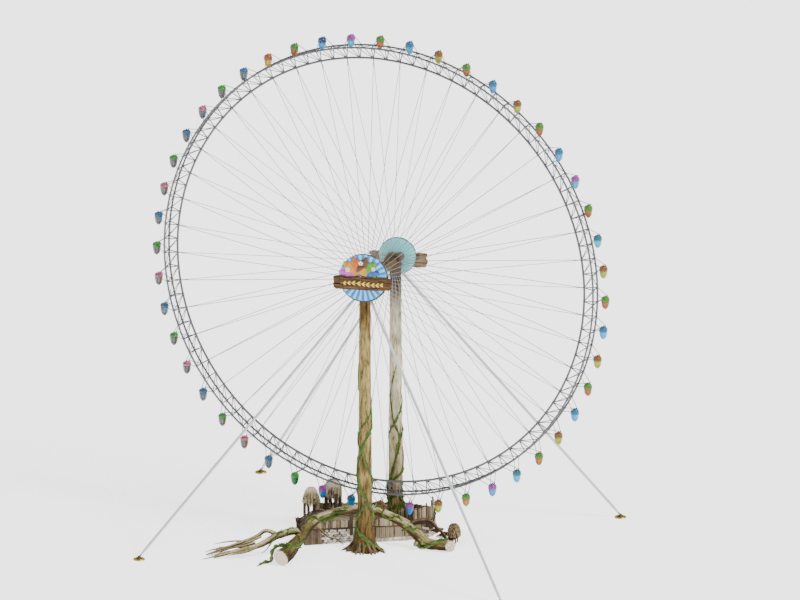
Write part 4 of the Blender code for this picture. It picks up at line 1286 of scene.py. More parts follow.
def motifMesh(name, place):
    # A spray of oak leaves with two crossed acorns and small blossoms, in the sign's own colours
    bm = newShape()
    stand = place @ moved((0, -0.034, 0))
    leaves = [(-0.12, 0.06, -76, 0.40, 0.22, 3), (-0.08, 0.08, -47, 0.44, 0.22, 4),
              (-0.05, 0.08, -16, 0.44, 0.23, 2), (0.02, 0.08, 14, 0.44, 0.23, 5),
              (0.06, 0.08, 42, 0.42, 0.22, 0), (0.08, 0.05, 72, 0.36, 0.20, 1),
              (-0.16, 0.01, -86, 0.30, 0.15, 1), (0.10, 0.01, 88, 0.30, 0.15, 3)]
    for order, (x, z, lean, length, width, tint) in enumerate(leaves):
        own = stand @ moved((x - 0.04, -0.003 * (order % 3), z)) @ rolled(lean, "Y")
        addLeafShape(bm, own, length, width, 3.5, 0.02, tint)
    flat = Matrix.Diagonal((1, 0.28, 1, 1))
    nut = [(0, 0.0), (0.020, 0.010), (0.062, 0.060), (0.086, 0.120), (0.092, 0.170), (0.088, 0.205),
           (0, 0.208)]
    cup = [(0, 0.190), (0.094, 0.190), (0.106, 0.202), (0.108, 0.224), (0.096, 0.258), (0.070, 0.286),
           (0.036, 0.302), (0.014, 0.306), (0.011, 0.338), (0, 0.341)]
    studs = barkRelief(0.020, 0.020, 0.012, 1)

    def cupRelief(angle, height, radius):
        return studs(angle, height, radius) if radius > 0.04 else 1

    for x, lean, proud, tint in ((-0.16, 34, 0.014, 2), (0.09, -36, 0.030, 5)):
        own = stand @ moved((x, -proud, 0.055)) @ rolled(lean, "Y") @ flat
        addTurned(bm, nut, 32, own, 4)
        addTurned(bm, cup, 40, own, tint, cupRelief)
    blossoms = [(-0.34, 0.20, 0.052, 6), (0.25, 0.24, 0.046, 6), (-0.04, 0.36, 0.050, 6),
                (-0.36, 0.05, 0.040, 3), (0.27, 0.05, 0.040, 0), (-0.04, 0.055, 0.044, 1)]
    ball = [(0, -1.0), (0.6, -0.8), (1.0, 0.0), (0.6, 0.8), (0, 1.0)]
    for x, z, size, tint in blossoms:
        for petal in range(5):
            turn = petal * math.tau / 5
            reach = size * 0.62
            own = stand @ moved((x + reach * math.sin(turn), -0.034, z + reach * math.cos(turn)))
            shape = [(r * size * 0.5, h * size * 0.5) for r, h in ball]
            addTurned(bm, shape, 12, own @ Matrix.Diagonal((1, 0.4, 1, 1)), tint)
        own = stand @ moved((x, -0.046, z)) @ Matrix.Diagonal((1, 0.5, 1, 1))
        addTurned(bm, [(0, -size * 0.3), (size * 0.3, 0.0), (0, size * 0.3)], 10, own, 4)
    bmesh.ops.recalc_face_normals(bm, faces=bm.faces)
    return meshFrom(bm, name, [
        enamelGreen, enamelBlue, enamelOrange, enamelPink, enamelNut, enamelCup, enamelCream])


def scrollMesh(name, place, size):
    # A painted twig that bows along the plank, with its leaves in pairs
    length = size[0] * 0.70
    front = -size[1] / 2 + 0.004
    bm = newShape()
    count = 48
    wave = []
    for step in range(count + 1):
        share = step / count
        z = 0.016 * math.sin(share * math.tau)
        thick = 0.0075 * (0.5 + 0.5 * math.sin(math.pi * share))
        wave.append(Vector(((share - 0.5) * length, front, z, thick)))
    addRoute(bm, [Vector((*(place @ p.xyz), p.w)) for p in wave], 6)
    pairs = 9
    for pair in range(pairs):
        point = wave[round((pair + 0.5) * count / pairs)]
        size = 0.070 + 0.022 * math.sin(math.pi * (pair + 0.5) / pairs)
        for side in (0, 1):
            own = place @ moved(point.xyz + Vector((0, 0.004, 0))) @ rolled(56 + 68 * side, "Y")
            addLeafShape(bm, own, size, 0.034, 0.0, 0.006, 0)
    bmesh.ops.recalc_face_normals(bm, faces=bm.faces)
    return meshFrom(bm, name, [creamPaint])


def buildSign(name, side, which, paints, motif):
    s = signSizes
    disc, radius, plankSize = s[which + "Disc"], s[which + "Radius"], s[which + "Plank"]
    faceAt, boardAt = signPlace(disc, side), signPlace(s[which + "Board"], side)
    plate = discMesh(name + "Disc", radius, faceAt, *paints)
    bm = newShape()
    reach = abs(disc[1]) - trunkSizes["headOuter"] - 0.004
    boss = moved((0, side * (trunkSizes["headOuter"] + 0.002), hub.z)) @ rolled(-90 * side, "X")
    addTurned(bm, rod(s["boss"], 0.0, reach), 40, boss)
    mount = meshFrom(bm, name + "Boss", [flangeSteel])
    whole = joinMeshes(name + "Disc", [plate, mount])
    placePiece(name + "_disc", whole, "root", [name], sharp=30)
    wood, ragged = (plankWood, 0.075) if motif else (warmPlank, 0.20)
    plank = plankMesh(name + "Plank", boardAt, plankSize, 4 + side, wood, ragged)
    placePiece(name + "_plank", plank, "root", sharp=35)
    scroll = scrollMesh(name + "Scroll", boardAt, plankSize)
    placePiece(name + "_scroll", scroll, "root", sharp=50)
    if motif:
        stood = faceAt @ moved((-0.020, 0, 0.0))
        placePiece(name + "_motif", motifMesh(name + "Motif", stood), "root", sharp=45)


plankWood = sculptedBark("darkSplitPlank", "6f5434", "4b3620", "1a1008", plateMm=(30, 300))
warmPlank = sculptedBark("warmSplitPlank", "9a8158", "6f5737", "2c1f11", plateMm=(34, 260))
navyEdge = mouldedAcrylic("navyEnamelEdge", "0f1c30", "081020", 0.3, 0.5, 0.0)
paleEnamel = mouldedAcrylic("paleCyanEnamel", "84d6fb", "62c0ee", 0.3, 0.3, 0.0, 180)
rayEnamel = mouldedAcrylic("skyBlueEnamel", "0078cc", "0064b2", 0.3, 0.3, 0.0, 180)
tealEdge = mouldedAcrylic("darkTealEdge", "1f5a66", "123f4a", 0.3, 0.5, 0.0)
tealRay = mouldedAcrylic("tealEnamel", "5fb4be", "46a0ac", 0.3, 0.5, 0.0, 180)
# Painted see-through: the brown band between these heights stands for the plank and its shadow behind the
# panel
tealBack = tealPanel("milkyTealAcrylic", "7ee8ee", "7a9880", hub.z - 0.235, hub.z + 0.055)
enamelGreen = mouldedAcrylic("leafGreenEnamel", "5aa216", "327a0c", 0.35, 0.3, 0.0, 60)
enamelBlue = mouldedAcrylic("denimBlueEnamel", "1a62a8", "0e4686", 0.35, 0.3, 0.0, 60)
enamelOrange = mouldedAcrylic("acornOrangeEnamel", "cc6a00", "9e4a00", 0.35, 0.3, 0.0, 60)
enamelPink = mouldedAcrylic("blossomPinkEnamel", "cc58c4", "a43498", 0.35, 0.3, 0.0, 60)
enamelNut = mouldedAcrylic("goldenNutEnamel", "d0920e", "a66a02", 0.3, 0.4, 0.0, 70)
enamelCup = mouldedAcrylic("cupBrownEnamel", "6a3c12", "442408", 0.4, 0.3, 0.0, 30)
enamelCream = mouldedAcrylic("creamBlossomEnamel", "f8f0e6", "ecdcc4", 0.35, 0.3, 0.0, 70)
creamPaint = mouldedAcrylic("creamSignPaint", "f4d86a", "dcb840", 0.45, 0.2, 0.0, 40)
nearPaints = (navyEdge, paleEnamel, navyEdge, rayEnamel)
farPaints = (tealEdge, paleEnamel, tealBack, tealRay)
buildSign("near_sign", -1, "near", nearPaints, True)
buildSign("far_sign", 1, "far", farPaints, False)
print("signs built")


# The bent log over the station, with its branch, fork and root, creepers and moss cushions

# Each route's points with its radius
archRoutes = {
    "log": [(-1.276, -2.800, 0.199, 0.188), (-1.242, -2.640, 0.236, 0.184), (-1.211, -2.460, 0.276, 0.172),
            (-1.192, -2.240, 0.331, 0.148), (-1.171, -2.040, 0.395, 0.128), (-1.171, -1.820, 0.447, 0.115),
            (-1.164, -1.600, 0.520, 0.110), (-1.157, -1.380, 0.581, 0.108), (-1.097, -1.130, 0.643, 0.096),
            (-0.976, -0.920, 0.697, 0.086), (-0.785, -0.730, 0.746, 0.086), (-0.578, -0.580, 0.780, 0.092),
            (-0.280, -0.470, 0.795, 0.100), (0.066, -0.420, 0.791, 0.104), (0.352, -0.400, 0.715, 0.099),
            (0.596, -0.390, 0.620, 0.100), (0.775, -0.380, 0.539, 0.112), (0.903, -0.370, 0.452, 0.119),
            (1.014, -0.360, 0.356, 0.127), (1.128, -0.350, 0.250, 0.133), (1.253, -0.340, 0.156, 0.128),
            (1.416, -0.330, 0.126, 0.120), (1.618, -0.320, 0.129, 0.123), (1.800, -0.320, 0.140, 0.122)],
    "branch": [(-1.180, -1.790, 0.480, 0.085), (-1.268, -1.840, 0.552, 0.088), (-1.381, -1.920, 0.561, 0.085),
               (-1.577, -2.040, 0.506, 0.083), (-1.682, -2.110, 0.462, 0.082), (-1.833, -2.220, 0.369, 0.072),
               (-2.003, -2.340, 0.276, 0.062), (-2.280, -2.500, 0.199, 0.050), (-2.528, -2.640, 0.141, 0.042),
               (-2.907, -2.820, 0.022, 0.018)],
    "fork": [(-1.540, -2.060, 0.480, 0.055), (-1.621, -2.080, 0.484, 0.058), (-1.735, -2.100, 0.526, 0.050),
             (-1.854, -2.110, 0.564, 0.044), (-1.972, -2.120, 0.553, 0.042), (-2.094, -2.180, 0.454, 0.042),
             (-2.237, -2.250, 0.372, 0.040), (-2.444, -2.340, 0.293, 0.038), (-2.672, -2.440, 0.195, 0.034),
             (-2.924, -2.560, 0.109, 0.026), (-3.153, -2.700, 0.016, 0.012)],
    "third": [(-1.780, -2.200, 0.380, 0.045), (-1.865, -2.260, 0.329, 0.045), (-2.052, -2.400, 0.245, 0.038),
              (-2.235, -2.550, 0.164, 0.032), (-2.418, -2.640, 0.121, 0.026), (-2.621, -2.740, 0.085, 0.014)],
    "root": [(0.842, -0.370, 0.490, 0.060), (0.923, -0.330, 0.576, 0.052), (1.045, -0.250, 0.626, 0.046),
             (1.166, -0.170, 0.639, 0.042), (1.279, -0.100, 0.583, 0.042), (1.383, -0.050, 0.460, 0.040),
             (1.509, -0.010, 0.336, 0.038), (1.611, 0.020, 0.174, 0.034), (1.690, 0.030, 0.030, 0.028)]}
archTwigs = [
    [(-2.240, -2.470, 0.210, 0.034), (-2.450, -2.400, 0.200, 0.028), (-2.700, -2.380, 0.170, 0.020),
     (-2.980, -2.380, 0.120, 0.010)],
    [(-2.350, -2.300, 0.320, 0.024), (-2.620, -2.300, 0.290, 0.018), (-2.880, -2.330, 0.240, 0.012),
     (-3.080, -2.400, 0.190, 0.005)],
    [(-2.700, -2.730, 0.095, 0.028), (-2.860, -2.860, 0.060, 0.020), (-3.020, -2.960, 0.030, 0.012),
     (-3.120, -3.010, 0.008, 0.005)],
    [(-2.780, -2.490, 0.160, 0.026), (-2.960, -2.520, 0.130, 0.018), (-3.120, -2.540, 0.080, 0.012),
     (-3.230, -2.560, 0.030, 0.005)],
    [(-2.100, -2.330, 0.330, 0.030), (-2.330, -2.420, 0.250, 0.026), (-2.600, -2.500, 0.190, 0.020),
     (-2.900, -2.620, 0.090, 0.014), (-3.080, -2.740, 0.010, 0.006)],
    [(-2.000, -2.200, 0.450, 0.026), (-2.200, -2.330, 0.350, 0.026), (-2.480, -2.430, 0.230, 0.020),
     (-2.760, -2.540, 0.120, 0.012), (-2.960, -2.640, 0.020, 0.006)],
    [(-1.900, -2.280, 0.340, 0.030), (-2.120, -2.420, 0.260, 0.026), (-2.380, -2.560, 0.160, 0.020),
     (-2.620, -2.660, 0.060, 0.012)],
    [(-2.450, -2.600, 0.150, 0.026), (-2.640, -2.620, 0.130, 0.022), (-2.840, -2.700, 0.070, 0.014),
     (-3.000, -2.780, 0.012, 0.006)],
    [(-1.743, -2.200, 0.360, 0.024), (-1.800, -2.280, 0.240, 0.016), (-1.809, -2.400, 0.198, 0.012),
     (-1.881, -2.500, 0.150, 0.006)],
    [(-1.084, -1.220, 0.504, 0.030), (-1.003, -1.120, 0.414, 0.026), (-0.930, -1.030, 0.279, 0.022),
     (-0.841, -0.950, 0.196, 0.019), (-0.686, -0.880, 0.151, 0.015), (-0.600, -0.760, 0.012, 0.010)],
    [(1.080, -0.400, 0.180, 0.070), (1.060, -0.450, 0.130, 0.062), (1.050, -0.480, 0.090, 0.048)]]
archStub = [(-1.198, -1.800, 0.513, 0.078), (-1.228, -1.800, 0.640, 0.072), (-1.243, -1.800, 0.745, 0.068)]
archVines = [
    [(-1.763, -3.020, 0.012, 0.010), (-1.704, -2.790, 0.036, 0.034), (-1.611, -2.672, 0.042, 0.038),
     (-1.540, -2.720, 0.110, 0.038), (-1.512, -2.780, 0.203, 0.038), (-1.505, -2.740, 0.330, 0.040),
     (-1.424, -2.685, 0.433, 0.038), (-1.309, -2.555, 0.436, 0.040), (-1.152, -2.525, 0.445, 0.036),
     (-1.052, -2.295, 0.406, 0.032), (-1.036, -2.025, 0.426, 0.022)],
    [(-1.180, -2.640, 0.410, 0.020), (-1.100, -2.480, 0.420, 0.030), (-1.040, -2.300, 0.340, 0.028),
     (-1.050, -2.150, 0.290, 0.014)],
    [(-1.263, -1.415, 0.662, 0.020), (-1.208, -1.275, 0.709, 0.028), (-1.093, -1.245, 0.728, 0.030),
     (-1.012, -1.205, 0.672, 0.028), (-0.959, -1.095, 0.687, 0.026), (-0.886, -0.930, 0.637, 0.026),
     (-0.817, -0.895, 0.730, 0.026), (-0.737, -0.815, 0.771, 0.026), (-0.654, -0.750, 0.776, 0.024),
     (-0.561, -0.680, 0.791, 0.014)],
    [(-1.050, -1.240, 0.700, 0.014), (-0.980, -1.150, 0.610, 0.022), (-0.860, -1.010, 0.620, 0.022),
     (-0.760, -0.840, 0.680, 0.020), (-0.620, -0.690, 0.700, 0.012)],
    [(0.073, -0.435, 0.903, 0.020), (0.174, -0.385, 0.877, 0.026), (0.277, -0.455, 0.838, 0.024),
     (0.253, -0.515, 0.769, 0.020), (0.343, -0.495, 0.668, 0.020), (0.482, -0.505, 0.680, 0.026),
     (0.569, -0.450, 0.729, 0.024), (0.653, -0.445, 0.702, 0.028), (0.726, -0.475, 0.636, 0.018)],
    [(0.718, -0.450, 0.403, 0.018), (0.852, -0.500, 0.471, 0.024), (0.927, -0.475, 0.527, 0.030),
     (1.000, -0.485, 0.456, 0.030), (1.061, -0.395, 0.492, 0.026), (1.105, -0.295, 0.438, 0.018)],
    [(1.117, -0.460, 0.150, 0.026), (1.118, -0.420, 0.070, 0.036), (1.182, -0.410, 0.044, 0.034),
     (1.347, -0.470, 0.111, 0.036), (1.478, -0.450, 0.190, 0.040), (1.599, -0.400, 0.244, 0.040),
     (1.695, -0.330, 0.276, 0.034), (1.787, -0.280, 0.282, 0.018)],
    [(-1.500, -2.080, 0.580, 0.014), (-1.600, -2.120, 0.560, 0.022), (-1.650, -2.200, 0.470, 0.022),
     (-1.740, -2.240, 0.400, 0.018), (-1.800, -2.190, 0.430, 0.012)],
    [(-1.290, -1.930, 0.600, 0.016), (-1.400, -1.960, 0.640, 0.024), (-1.450, -2.060, 0.520, 0.024),
     (-1.520, -2.080, 0.450, 0.014)]]
# Knots where the moss sits: place and spread
mossKnots = [(-1.10, -1.28, 0.68, 0.14), (-0.90, -0.93, 0.74, 0.12), (-0.62, -0.66, 0.84, 0.14),
             (0.50, -0.44, 0.74, 0.10), (0.86, -0.44, 0.55, 0.10), (1.02, -0.42, 0.46, 0.10),
             (1.20, -0.40, 0.24, 0.10), (-1.44, -1.98, 0.64, 0.13), (-1.22, -2.02, 0.52, 0.12),
             (-1.12, -2.40, 0.40, 0.14), (-1.66, -2.12, 0.55, 0.10), (0.10, -0.42, 0.90, 0.10)]
archStep = 0.045


def cushionItem():
    # A low moss cushion, a metre across before it is shrunk
    bm = newShape()
    addTurned(bm, [(0, -0.1), (0.5, 0.0), (0.42, 0.3), (0.2, 0.48), (0, 0.52)], 7, relief=lumpy(5, 3))
    return meshFrom(bm, "cushion")


def mossSpots(routes, count, seed):
    # Cushions in tight patches on the upper sides of the logs, round the knots
    randomMoss = random.Random(seed)
    spots = []
    while len(spots) < count:
        *knot, spread = mossKnots[randomMoss.randrange(len(mossKnots))]
        near = Vector(knot) + Vector([randomMoss.gauss(0, spread * 0.5) for _ in range(3)])
        point = min((spot for route in routes for spot in route), key=lambda spot: (spot.xyz - near).length)
        out = (near - point.xyz).normalized()
        if out.z < -0.2:
            continue
        size = randomMoss.uniform(0.022, 0.048)
        turned = out.to_track_quat("Z", "Y").to_euler()
        spots.append((point.xyz + out * point.w * 0.96, turned, (size * 1.3, size, size * 0.5)))
    return spots


# Across a snapped end: share of the radius, depth and how far its splinters stand out
splinterRings = [(0.80, -0.06, 0.0), (0.98, -0.02, 0.1), (1.04, 0.25, 0.5), (1.02, 1.0, 1.0),
                 (0.92, 0.9, 1.0), (0.66, 0.35, 0.6), (0.34, 0.10, 0.3)]


def addBrokenEnd(bm, middle, along, radius, depth, seed, materialIndex=1):
    # A snapped end: a ring of splinters of uneven length round a hollow
    place = moved(middle) @ Vector(along).to_track_quat("Z", "Y").to_matrix().to_4x4()
    sides = 34
    rings = []
    for wide, back, spiky in splinterRings:
        ring = []
        for k in range(sides):
            angle = k * math.tau / sides
            tooth = noise.noise(polar(2, angle, seed)) + 0.8 * noise.noise(polar(9, angle, seed + 3))
            reach = radius * wide * (1 + 0.16 * noise.noise(polar(2, angle, seed + 8)))
            own = polar(reach, angle, depth * (back + spiky * tooth))
            ring.append(addPoint(bm, place @ own, own))
        rings.append(ring)
    addRings(bm, rings, materialIndex)


def buildArch():
    bm = newShape()
    routes = {key: smoothRoute(route, archStep) for key, route in archRoutes.items()}
    knobbly = barkRelief(0.050, 0.26, 0.014, 4.0)

    def bulging(angle, along, radius):
        return knobbly(angle, along, radius) + 0.10 * noise.noise(polar(1, angle, along * 2.2))

    addRoute(bm, routes["log"], 36, bulging, 0, 1)
    for key in ("branch", "fork", "third", "root"):
        addRoute(bm, routes[key], 18, barkRelief(0.030, 0.2, 0.010, len(key)), 2 if key == "root" else 3)
    addBrokenEnd(bm, (1.835, -0.335, 0.140), (0.78, -0.62, 0.08), 0.118, 0.050, 2.0)
    twigs = [smoothRoute(twig, 0.04) for twig in archTwigs]
    for twig in twigs:
        addRoute(bm, twig, 10, barkRelief(0.022, 0.14, 0.005, twig[0].x), 3)
    addRoute(bm, smoothRoute(archStub, 0.03), 20, barkRelief(0.024, 0.1, 0.012, 8.0), 2)
    addBrokenEnd(bm, (-1.245, -1.800, 0.770), (-0.1, -0.25, 1.0), 0.070, 0.085, 7.0, 2)
    # The dark hollow where a bough has been torn off, under the vine near the sawn end: a short plug of dark
    # root bark, painted shade that stands for the hollow
    hollow = [(-1.110, -2.700, 0.330, 0.050), (-1.085, -2.720, 0.300, 0.060), (-1.075, -2.720, 0.262, 0.044)]
    addRoute(bm, smoothRoute(hollow, 0.02), 14, barkRelief(0.02, 0.08, 0.010, 3.0), 2)
    bark = meshFrom(bm, "archBark", [archBark, creamWood, rootBark, branchBark])
    placePiece("arch_bark", bark, "root", ["log_arch"], sharp=60)
    bm = newShape()
    randomLeaves = random.Random(31)
    for order, points in enumerate(archVines):
        for strand in (0, 1):
            vine = []
            for index, point in enumerate(smoothRoute(points, 0.03)):
                twist = index * 0.5 + strand * math.pi
                shift = Vector((math.cos(twist), math.cos(twist), 1.4 * math.sin(twist))) * point.w * 0.45
                vine.append(Vector((*(point.xyz + shift), point.w * 0.72)))
            # Strand 1 takes the shaded green, a painted shade
            addRoute(bm, vine, 8, lumpy(20, order), strand)
            for point in vine[2::5]:
                if randomLeaves.random() < 0.45:
                    size, lean = randomLeaves.uniform(0.03, 0.055), randomLeaves.uniform(-3, 3)
                    out = Vector((0.2, -0.4, 0.9)).normalized()
                    addLeaf(bm, point.xyz + Vector((0, 0, point.w)), out, size, lean)
    bmesh.ops.recalc_face_normals(bm, faces=bm.faces)
    creepers = meshFrom(bm, "archCreepers", [creeperGreen, shadedCreeperGreen])
    placePiece("arch_creepers", creepers, "root", sharp=60)
    spots = mossSpots([routes[key] for key in ("log", "branch", "fork")], 300, 5)
    moss = copyToSpots("archMoss", spots, cushionItem(), mossGreen, 0.25, 0.3, 8)
    placePiece("arch_moss", moss, "root", sharp=60)


buildArch()
print("bent log built")


# The boarding station: rough stone base, upright boards, palisade, deck, log steps and thatched huts

stationSizes = {
    "outline": [(-1.38, -1.15), (-1.05, -0.935), (-0.52, -0.59), (-0.10, -0.36), (0.23, -0.18),
                (0.72, 0.14), (1.04, 0.59), (0.86, 1.18), (0.00, 1.42), (-1.00, 1.16), (-1.75, 0.34),
                (-1.80, -0.45)],
    # For each side in turn: where its stones end and its boards begin
    "stoneTop": [0.0, 0.345, 0.345, 0.100, 0.100, 0.100, 0.170, 0.170, 0.170, 0.170, 0.170, 0.0],
    "deck": 0.370, "inset": 0.90, "stone": 0.100, "stoneHigh": 0.060, "board": 0.048, "thick": 0.014,
    "rail": 0.014, "knobTop": 0.815, "plank": 0.078, "stepStart": (0.92, 0.45), "stepEnd": (1.62, 0.34),
    "steps": 4, "stepWidth": 0.30, "post": (-0.47, -0.58, 0.74, 0.036), "boardTop": 0.364, "fenceFoot": 0.362,
    "paleFoot": 0.375, "pale": 0.044, "paleThick": 0.022, "seat": 0.006}
# Fences on the deck's edge: x, y and top of each corner
fences = [[(-1.38, -1.15, 0.56), (-0.52, -0.59, 0.56), (0.23, -0.18, 0.56), (0.72, 0.14, 0.44)],
          [(0.86, 1.18, 0.52), (0.00, 1.42, 0.45), (-1.00, 1.16, 0.41), (-1.40, 0.72, 0.47),
           (-1.75, 0.34, 0.56)],
          [(0.20, 0.62, 0.49), (0.50, 0.52, 0.62), (0.74, 0.30, 0.70)]]
palisade = [(0.72, 0.20, 0.735), (1.00, 0.59, 0.745), (0.83, 1.14, 0.735)]
# Each hut's thatch as radius and height, the fringe and legs below it
huts = [
    {"x": -1.87, "y": 0.40, "floor": 0.0, "leg": 0.115, "thick": 0.034, "fringe": 0.43, "straw": 0.15,
     "thatch": [(0.196, 0.566), (0.180, 0.620), (0.160, 0.700), (0.140, 0.775), (0.120, 0.830),
                (0.082, 0.864), (0.0, 0.875)]},
    {"x": -1.40, "y": 0.57, "floor": 0.3, "leg": 0.120, "thick": 0.048, "fringe": 0.60, "straw": 0.17,
     "thatch": [(0.188, 0.700), (0.190, 0.780), (0.187, 0.880), (0.177, 0.970), (0.150, 1.030),
                (0.090, 1.062), (0.0, 1.070)]},
    {"x": 1.66, "y": 0.36, "floor": 0.0, "leg": 0.060, "thick": 0.018, "fringe": 0.14, "straw": 0.11,
     "thatch": [(0.147, 0.190), (0.147, 0.250), (0.134, 0.320), (0.116, 0.385), (0.082, 0.432),
                (0.035, 0.447), (0.0, 0.450)]}]
strawsPerMetre = 4800


def boardItem():
    # An upright board, a metre tall and wide before it is shrunk, with a ragged slanting top
    bm = newShape()
    corners = [(-0.5, -0.5), (0.5, -0.5), (0.5, 0.5), (-0.5, 0.5)]
    rings = [[addPoint(bm, Vector((x * wide, y * deep, z))) for x, y in corners]
             for wide, deep, z in ((1, 1, 0), (1, 1, 0.45), (0.96, 0.92, 0.93))]
    top = [(-0.40, -0.34, 0.985), (0.38, -0.30, 0.955), (0.34, 0.32, 0.965), (-0.36, 0.34, 1.0)]
    rings.append([addPoint(bm, Vector(point)) for point in top])
    addRings(bm, rings)
    return meshFrom(bm, "board")


def stoneItem():
    bm = bmesh.new()
    bmesh.ops.create_icosphere(bm, subdivisions=2, radius=0.5)
    for vert in bm.verts:
        square = max(abs(vert.co.x), abs(vert.co.y), abs(vert.co.z))
        vert.co *= (0.72 + 0.28 * 0.5 / square) * (1 + 0.16 * noise.noise(vert.co * 3.1))
    return meshFrom(bm, "stone")


def strawItem():
    # A bundle that hangs down from its root, a metre long before it is shrunk; its grain is 0 at the root
    bm = newShape()
    rings = []
    for z, size in ((-1.0, 0.16), (-0.86, 0.5), (-0.3, 0.46), (0.0, 0.2)):
        rings.append([addPoint(bm, polar(size, k * math.tau / 3, z)) for k in range(3)])
    addRings(bm, rings)
    return meshFrom(bm, "straw")


def alongEdges(corners, spacing):
    # Evenly spaced places along an open row of corners, each with its yaw, outward side, pitch, edge and top
    for edge, (a, b) in enumerate(zip(corners, corners[1:])):
        length = math.hypot(b[0] - a[0], b[1] - a[1])
        count = max(1, round(length / spacing))
        for k in range(count):
            spot = Vector(a).lerp(Vector(b), (k + 0.5) / count)
            top = spot.z if len(a) > 2 else 0.0
            yield (Vector((spot.x, spot.y, 0)), math.atan2(b[1] - a[1], b[0] - a[0]),
                   Vector((b[1] - a[1], a[0] - b[0], 0)) / length, length / count, edge, top)


def deckPlanks():
    # Rows of planks that fill the platform inside its parapet
    s = stationSizes
    outline = s["outline"]
    middle = Vector((sum(x for x, _ in outline), sum(y for _, y in outline))) / len(outline)
    inner = [middle + (Vector(point) - middle) * (s["inset"] - 0.005) for point in outline]
    randomDeck = random.Random(12)
    spots = []
    y = min(p.y for p in inner) + s["plank"] / 2
    while y < max(p.y for p in inner):
        crossings = []
        for a, b in zip(inner, inner[1:] + inner[:1]):
            if (a.y - y) * (b.y - y) < 0:
                crossings.append(a.x + (b.x - a.x) * (y - a.y) / (b.y - a.y))
        crossings.sort()
        for start, end in zip(crossings[::2], crossings[1::2]):
            x = start + 0.01
            while x < end - 0.05:
                length = min(randomDeck.uniform(0.45, 0.95), end - x - 0.01)
                size = (0.012, s["plank"] * 0.93, length)
                spots.append((Vector((x, y, s["deck"] + s["seat"])), (0, math.pi / 2, 0), size))
                x += length + 0.004
        y += s["plank"]
    return spots


def coreMesh():
    # The platform's rough core behind the boards and stones
    bm = newShape()
    corners = [Vector(point) * 0.985 for point in stationSizes["outline"]]
    rings = [[addPoint(bm, Vector((*corner, z))) for corner in corners] for z in (0.0, 0.12, 0.24, 0.362)]
    addRings(bm, rings)
    for face in bm.faces:
        middle = face.calc_center_median()
        face.material_index = 1 if middle.z > 0.36 or (middle.x < -0.30 and middle.y < -0.30) else 0
    return meshFrom(bm, "stationCore", [limeWash, coreBoards])


def buildWalls():
    # Stones in courses, boards with gaps above them, and the darker fences on the deck's edge
    s = stationSizes
    outline = s["outline"] + s["outline"][:1]
    randomWall = random.Random(3)
    stones, low, dark, high = [], [], [], []
    for place, yaw, out, pitch, edge, _ in alongEdges(outline, s["stone"]):
        top = s["stoneTop"][edge]
        rows = round(top / s["stoneHigh"])
        for row in range(rows):
            size = (pitch * randomWall.uniform(0.75, 1.2), randomWall.uniform(0.030, 0.055),
                    s["stoneHigh"] * randomWall.uniform(0.8, 1.12))
            shift = polar(1, yaw) * pitch * (0.5 * (row % 2) + randomWall.uniform(-0.2, 0.2))
            z = (row + 0.5) * top / rows + randomWall.uniform(-0.006, 0.006)
            stones.append((place + shift + out * 0.002 + Vector((0, 0, z)), (0, 0, yaw), size))
    for place, yaw, out, pitch, edge, _ in alongEdges(outline, s["board"]):
        foot = s["stoneTop"][edge] + 0.006 if s["stoneTop"][edge] else 0.004
        if foot < 0.3:
            row = low if s["stoneTop"][edge] else dark
            wide = pitch * (0.80 if edge > 2 else 0.97)
            size = (wide, s["thick"] * randomWall.uniform(0.7, 1.5), s["boardTop"] - foot)
            row.append((place + out * s["seat"] + Vector((0, 0, foot)), (0, 0, yaw), size))
    for fence in fences:
        for place, yaw, out, pitch, _, top in alongEdges(fence, s["board"] * 0.8):
            thick = s["thick"] * randomWall.uniform(0.8, 1.7)
            size = (pitch * 1.02, thick, top - s["fenceFoot"] + randomWall.uniform(-0.020, 0.012))
            high.append((place + out * s["seat"] + Vector((0, 0, s["fenceFoot"])), (0, 0, yaw), size))
    for place, yaw, _, pitch, _, top in alongEdges(palisade, s["pale"]):
        thick = s["paleThick"] * randomWall.uniform(0.8, 1.5)
        size = (pitch * 1.02, thick, top - s["paleFoot"] + randomWall.uniform(-0.030, 0.0))
        high.append((place + Vector((0, 0, s["paleFoot"])), (0, 0, yaw), size))
    stoneMesh = copyToSpots("stationStones", stones, stoneItem(), stationStone, 0.1, 0.12, 2)
    placePiece("station_stones", stoneMesh, "root", sharp=60)
    boards = joinMeshes("stationBoards", [
        copyToSpots("lowBoards", low, boardItem(), wallBoards, 0.04, 0.015, 3),
        copyToSpots("darkBoards", dark, boardItem(), endBoards, 0.04, 0.015, 6),
        copyToSpots("highBoards", high, boardItem(), fenceBoards, 0.05, 0.03, 4),
        copyToSpots("deckPlanks", deckPlanks(), boardItem(), deckBoards, 0.0, 0.0, 5)])
    placePiece("station_boards", boards, "root", sharp=30)


def knotty(angle, along, radius):
    return 1 + 0.18 * noise.noise(polar(1, angle, along * 9))


